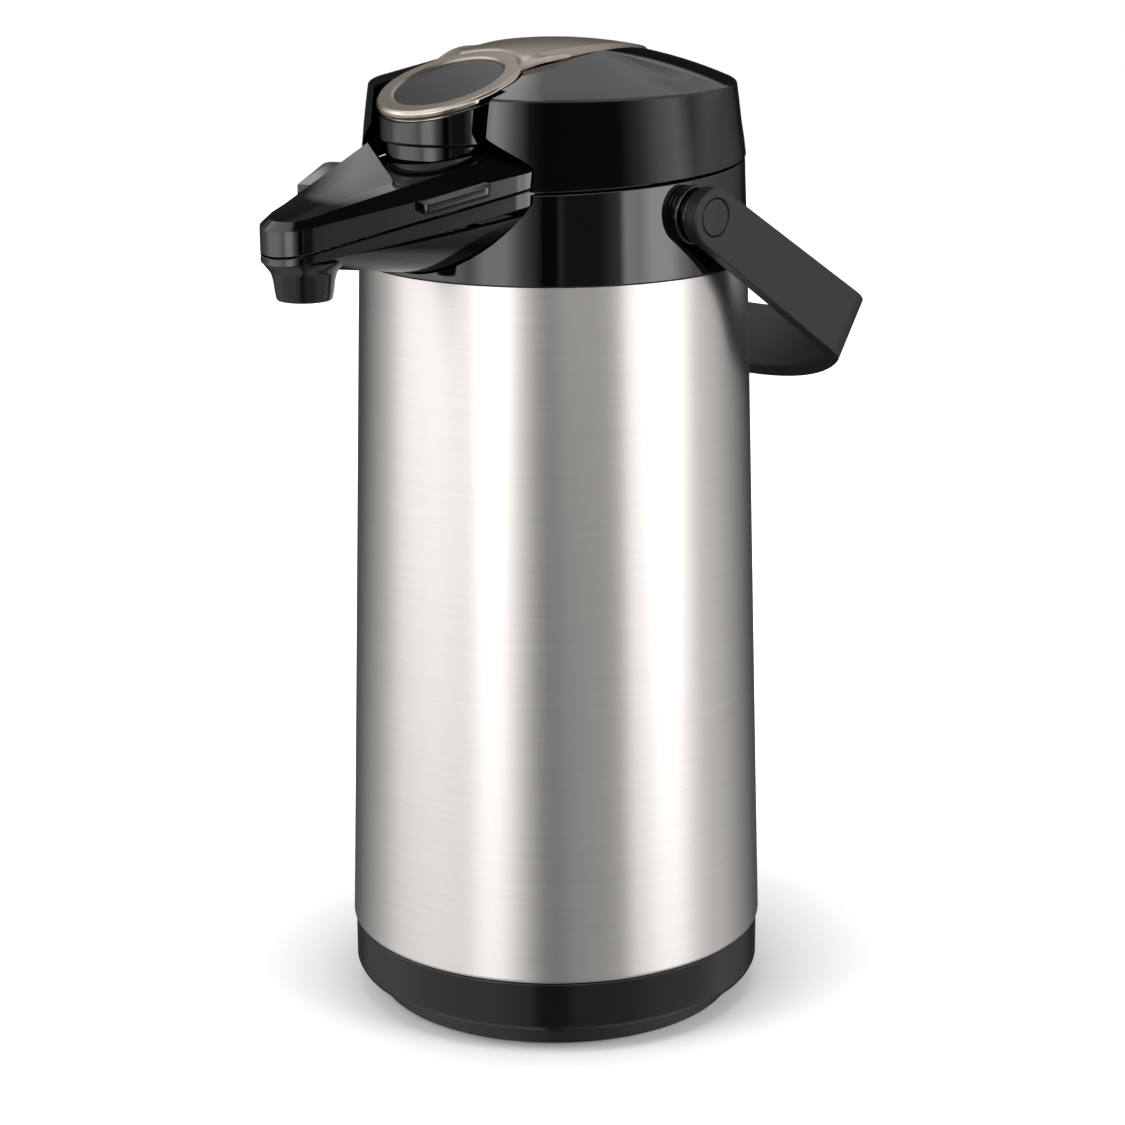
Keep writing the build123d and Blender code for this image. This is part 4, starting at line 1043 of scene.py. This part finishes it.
points = []
rows, columns = 40, 49
for row in range(rows):
    for column in range(columns):
        u = 2 * column / (columns - 1) - 1
        y_end = ROOT_Y
        for _ in range(8):  # closes in on the place where this line meets the collar
            x_end = u * (flank_x(y_end) - BELLY_STEP)
            y_end = -math.sqrt(max(TRAY_END_R ** 2 - x_end ** 2, 0))
        y = NOSE_Y + (y_end - NOSE_Y) * row / (rows - 1)
        x = u * (flank_x(y) - BELLY_STEP)
        points.append((x, y, belly_z(x, y)))
belly = piece("tray_belly", points, wrap(rows, columns), 40)
wall = belly.modifiers.new("wall", "SOLIDIFY")
wall.thickness = BELLY_WALL * MM
wall.offset = -1 if belly.data.polygons[0].normal.z < 0 else 1
dress(belly, gloss, "jug", "black_gloss")


# -------------------------------- nozzle
# Tapered black outlet clipped through the tray. Its wall runs up from a rounded mouth to a
# flared root inside the belly.

NOZZLE_LOW = 298.4
BORE_R = 7.4
nozzle = lathe("nozzle_cone", [
    (BORE_R, 311.0), (BORE_R, NOZZLE_LOW + 0.9), (7.9, NOZZLE_LOW), (9.9, NOZZLE_LOW, 0.5),
    (10.2, NOZZLE_LOW + 0.7), (10.65, 301.4), (11.2, 305.5), (11.9, 308.1), (12.6, 309.2),
    (13.65, 310.5), (14.8, 312.0), (15.2, 313.0), (13.6, 314.0), (9.0, 312.0),
], 40)
nozzle.data.transform(Matrix.Translation((0, NOSE_Y * MM, 0)))
dress(nozzle, gloss, "jug", "black_gloss", "nozzle")


# -------------------------------- latch keys
# A black key in each flank of the spout; squeezing both frees the lid. Each is a flat plate
# with rounded corners and a broken edge above and below.

KEY_FRONT = -96.0
KEY_START = 0.2
KEY_LENGTH = 26.0
KEY_TALL = 4.2
KEY_REACH = 6.6
KEY_INSIDE = -4
KEY_ABOVE = 3.0
KEY_EDGE = 0.6

for side, body, cad in ((1, "latch_right", "latch_tab_right"), (-1, "latch_left", "latch_tab_left")):
    plan = rounded([
        (KEY_INSIDE, KEY_START), (KEY_REACH, KEY_START, 1.6), (KEY_REACH, KEY_LENGTH, 3.2),
        (KEY_INSIDE, KEY_LENGTH),
    ], 6)
    outline = [(0.0, KEY_EDGE), (KEY_EDGE, 0), (KEY_TALL - KEY_EDGE, 0), (KEY_TALL, KEY_EDGE)]
    corner = Vector((flank_x(KEY_FRONT), KEY_FRONT, spout_seam(KEY_FRONT) + KEY_ABOVE))
    out = Vector((math.cos(FLANK), -math.sin(FLANK), 0))
    back = Vector((math.sin(FLANK), math.cos(FLANK), SPOUT_SLOPE * math.cos(FLANK)))
    points = []
    middle = Vector((1.2, KEY_LENGTH / 2))
    for z, shrink in outline:
        for p in plan:
            q = p + (middle - p).normalized() * shrink
            spot = corner + out * q.x + back * q.y + Vector((0, 0, z))
            points.append((spot.x * side, spot.y, spot.z))
    n = len(plan)
    faces = wrap(len(outline), n, False, True) + [tuple(range(n)), tuple(range(3 * n, 4 * n))]
    key = piece("latch_key", points, faces, 60)
    key.name = cad.replace("tab", "key")
    dress(key, gloss, body, "black_gloss", cad)


# -------------------------------- carrying handle
# Black polypropylene bail on two pivots, moulded with a fine matt grain. Its plan is raised
# square to the arms, then cut to a side view that widens from the pivots to the bow.

DROOP = math.radians(33)
ARM_IN = 79.6
ARM_OUT = 85.2
ARM_LENGTH = 97.6
ARM_TAIL = -12
ARM_ROOT_HALF = 10.9
ARM_END_HALF = 13.2
BOW = 26.0
GRIP = 5.6
GRIP_EXTRA = 4.5         # the grip is thicker in the middle
OUTER_ROUND = (14.0,)
INNER_ROUND = (10.0,)
CAP_R = 6.9
SEAT_R = CAP_R + 0.25
SEAT_FACE = 82.2
PIN_R = 4.0
BUSH_R = 10.5
BUSH_HOLE_R = 5.0
BUSH_FACE = 79.2

grained, tree, shader = paint("polypropylene_fine_grain", {"Roughness": 0.42, "IOR": 1.49})
place = node(tree, "ShaderNodeTexCoord").outputs["Object"]
grain = node(tree, "ShaderNodeTexVoronoi", {"Vector": place, "Scale": 1 / (0.6 * MM)})
tint(tree, shader, grain.outputs["Distance"], "#0e0e0f", "#151516")
relief(tree, shader, grain.outputs["Distance"], 0.03, 0.6)


def on_handle(x, y, z):
    """A point of the handle's own frame, y out along its arms and z square to them."""
    return (x, y * math.cos(DROOP) + z * math.sin(DROOP),
            HANDLE_Z - y * math.sin(DROOP) + z * math.cos(DROOP))


shoulder = ARM_LENGTH - 3
outer = through((ARM_OUT, shoulder), (0, ARM_LENGTH + BOW + GRIP + GRIP_EXTRA), (-ARM_OUT, shoulder), 64)
inner = through((-ARM_IN, shoulder - 2), (0, ARM_LENGTH + BOW), (ARM_IN, shoulder - 2), 64)
outline = [(ARM_OUT, ARM_TAIL), outer[0] + OUTER_ROUND] + outer[3:-3] + [outer[-1] + OUTER_ROUND]
outline += [(-ARM_OUT, ARM_TAIL), (-ARM_IN, ARM_TAIL)]
outline += [inner[0] + INNER_ROUND] + inner[3:-3] + [inner[-1] + INNER_ROUND, (ARM_IN, ARM_TAIL)]
bail = solid_prism("handle_bail", rounded(outline, 10), -16, 16, on_handle)
far = ARM_LENGTH + BOW + 20
side_view = [(0, ARM_ROOT_HALF), (ARM_LENGTH, ARM_END_HALF), (far, ARM_END_HALF + 0.9),
             (far, -ARM_END_HALF - 0.9), (ARM_LENGTH, -ARM_END_HALF)]
for degrees in range(0, 180, 6):
    turn = math.radians(degrees)
    side_view.append((-ARM_ROOT_HALF * math.sin(turn), -ARM_ROOT_HALF * math.cos(turn)))
keep = solid_prism("side", side_view, -100, 100, lambda y, z, x: on_handle(x, y, z))
boolean(bail, [keep], "INTERSECT", 25)
seat = [(0, SEAT_FACE), (0, 90), (SEAT_R, 90), (SEAT_R, SEAT_FACE)]
seats = [turned_along_x("seat", seat, side, (0, HANDLE_Z)) for side in (1, -1)]
boolean(bail, seats, "DIFFERENCE", 25)
soft_edge = bail.modifiers.new("soft_edge", "BEVEL")
soft_edge.width = 0.9 * MM
soft_edge.segments = 3
soft_edge.limit_method = "ANGLE"
soft_edge.angle_limit = math.radians(40)
dress(bail, grained, "handle", "handle_black", "handle")

for side, name in ((1, "right"), (-1, "left")):
    cap = turned_along_x("pivot_cap_" + name, [
        (0, 74), (PIN_R, 74), (PIN_R, 82.4), (CAP_R, 82.4), (CAP_R, ARM_OUT - 0.1, 0.5),
        (0, ARM_OUT + 0.05),
    ], side, (0, HANDLE_Z))
    dress(cap, grained, "jug", "black_matte", *(["handle_pins"] if side == 1 else []))
    bush = turned_along_x("pivot_bush_" + name, [
        (BUSH_HOLE_R, EAR_FACE), (BUSH_R, EAR_FACE, 0.4), (BUSH_R, BUSH_FACE, 0.5),
        (BUSH_HOLE_R, BUSH_FACE),
    ], side, (0, HANDLE_Z))
    dress(bush, gloss, "jug", "black_gloss", *(["pivot_bushes"] if side == 1 else []))


# -------------------------------- foot
# Black turntable under the base, with a rubber ring that grips the table. These pieces keep
# their CAD shape and only take their material.

matt = polished_black("black_abs_matt", "#0c0c0d", 0.38)


def coat(material, *nodes):
    """Paint CAD nodes that keep their own shape."""
    for name in nodes:
        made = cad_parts[name]
        made.data.materials.clear()
        made.data.materials.append(material)


rubber = clouded("rubber_black", {"Roughness": 0.62, "IOR": 1.52}, 3, 4.0, "#141414", "#232322",
                 depth=0.02)
coat(matt, "swivel_foot")
coat(rubber, "foot_pad_ring", "flask_cushion")


# -------------------------------- inside
# Steel flask drawn along its axis, silicone seals, milky tubes, the pump's cup, its bellows
# and its spring. Only the bellows and the spring are modelled again here, since they squash.

flask, tree, shader = paint("stainless_steel_drawn", {"Metallic": 1.0})
place = node(tree, "ShaderNodeTexCoord").outputs["Object"]
across, along = 1 / (0.8 * MM), 1 / (30 * MM)
streak = node(tree, "ShaderNodeMapping", {"Vector": place, "Scale": (across, across, along)})
drawn = {"Vector": streak.outputs[0], "Scale": 1.0, "Detail": 2.0}
drawn = node(tree, "ShaderNodeTexNoise", drawn).outputs["Fac"]
tint(tree, shader, drawn, "#c9c7c4", "#dcdad7")
roughen(tree, shader, drawn, 0.22, 0.34)
coat(flask, "flask_outer_wall", "flask_inner_wall", "hub_clip", "hinge_pin", "lever_pin")

silicone = clouded("silicone_grey", {
    "Roughness": 0.45, "IOR": 1.42, "Subsurface Weight": 0.1,
}, 8, 2.0, "#b9b9b6", "#c9c9c6", depth=0.01)
coat(silicone, "neck_gasket", "seal_ring", "air_valve", "tube_grommet")

tubing = clouded("polypropylene_natural", {
    "Roughness": 0.3, "IOR": 1.49, "Subsurface Weight": 0.15,
}, 5, 2.0, "#d5d8d6", "#e3e5e2", depth=0.01)
coat(tubing, "riser_tube", "discharge_tube")
coat(matt, "filling_funnel", "pump_housing", "pump_plate", "lever_arm", "tube_holder")

BELLOWS_LOW = 322.3
BELLOWS_TOP = 343.0
BELLOWS_R = 35.6         # where the folds turn in
FOLD_DEPTH = 5.3
BELLOWS_WALL = 1.2
FOLDS = 3
FOLD_POINTS = 16
outline = []
for k in range(FOLDS * FOLD_POINTS + 1):
    share = k / (FOLDS * FOLD_POINTS)
    swell = 0.5 - 0.5 * math.cos(2 * math.pi * FOLDS * share)
    outline.append((BELLOWS_R + FOLD_DEPTH * swell, BELLOWS_LOW + (BELLOWS_TOP - BELLOWS_LOW) * share))
outline += [(r - BELLOWS_WALL, z) for r, z in reversed(outline)]
bellows = lathe("pump_bellows", outline, 60)
dress(bellows, rubber, "lid", "rubber", "bellows")
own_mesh(bellows)

SPRING_R = 14.0
WIRE_R = 0.75
SPRING_TURNS = 4
TURN_STEPS = 40
WIRE_SIDES = 12
points = []
runs = SPRING_TURNS * TURN_STEPS
for k in range(runs + 1):
    turn = 2 * math.pi * k / TURN_STEPS
    z = BELLOWS_LOW + WIRE_R + 0.1 + (BELLOWS_TOP - BELLOWS_LOW - 2 * WIRE_R - 0.2) * k / runs
    for m in range(WIRE_SIDES):
        round_wire = 2 * math.pi * m / WIRE_SIDES
        r = SPRING_R + WIRE_R * math.cos(round_wire)
        points.append((r * math.cos(turn), r * math.sin(turn), z + WIRE_R * math.sin(round_wire)))
ends = [tuple(range(k, k + WIRE_SIDES)) for k in (0, runs * WIRE_SIDES)]
faces = wrap(runs + 1, WIRE_SIDES, False, True) + ends
spring = piece("pump_spring", points, faces, 60)
dress(spring, flask, "lid", "pin", "return_spring")
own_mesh(spring)
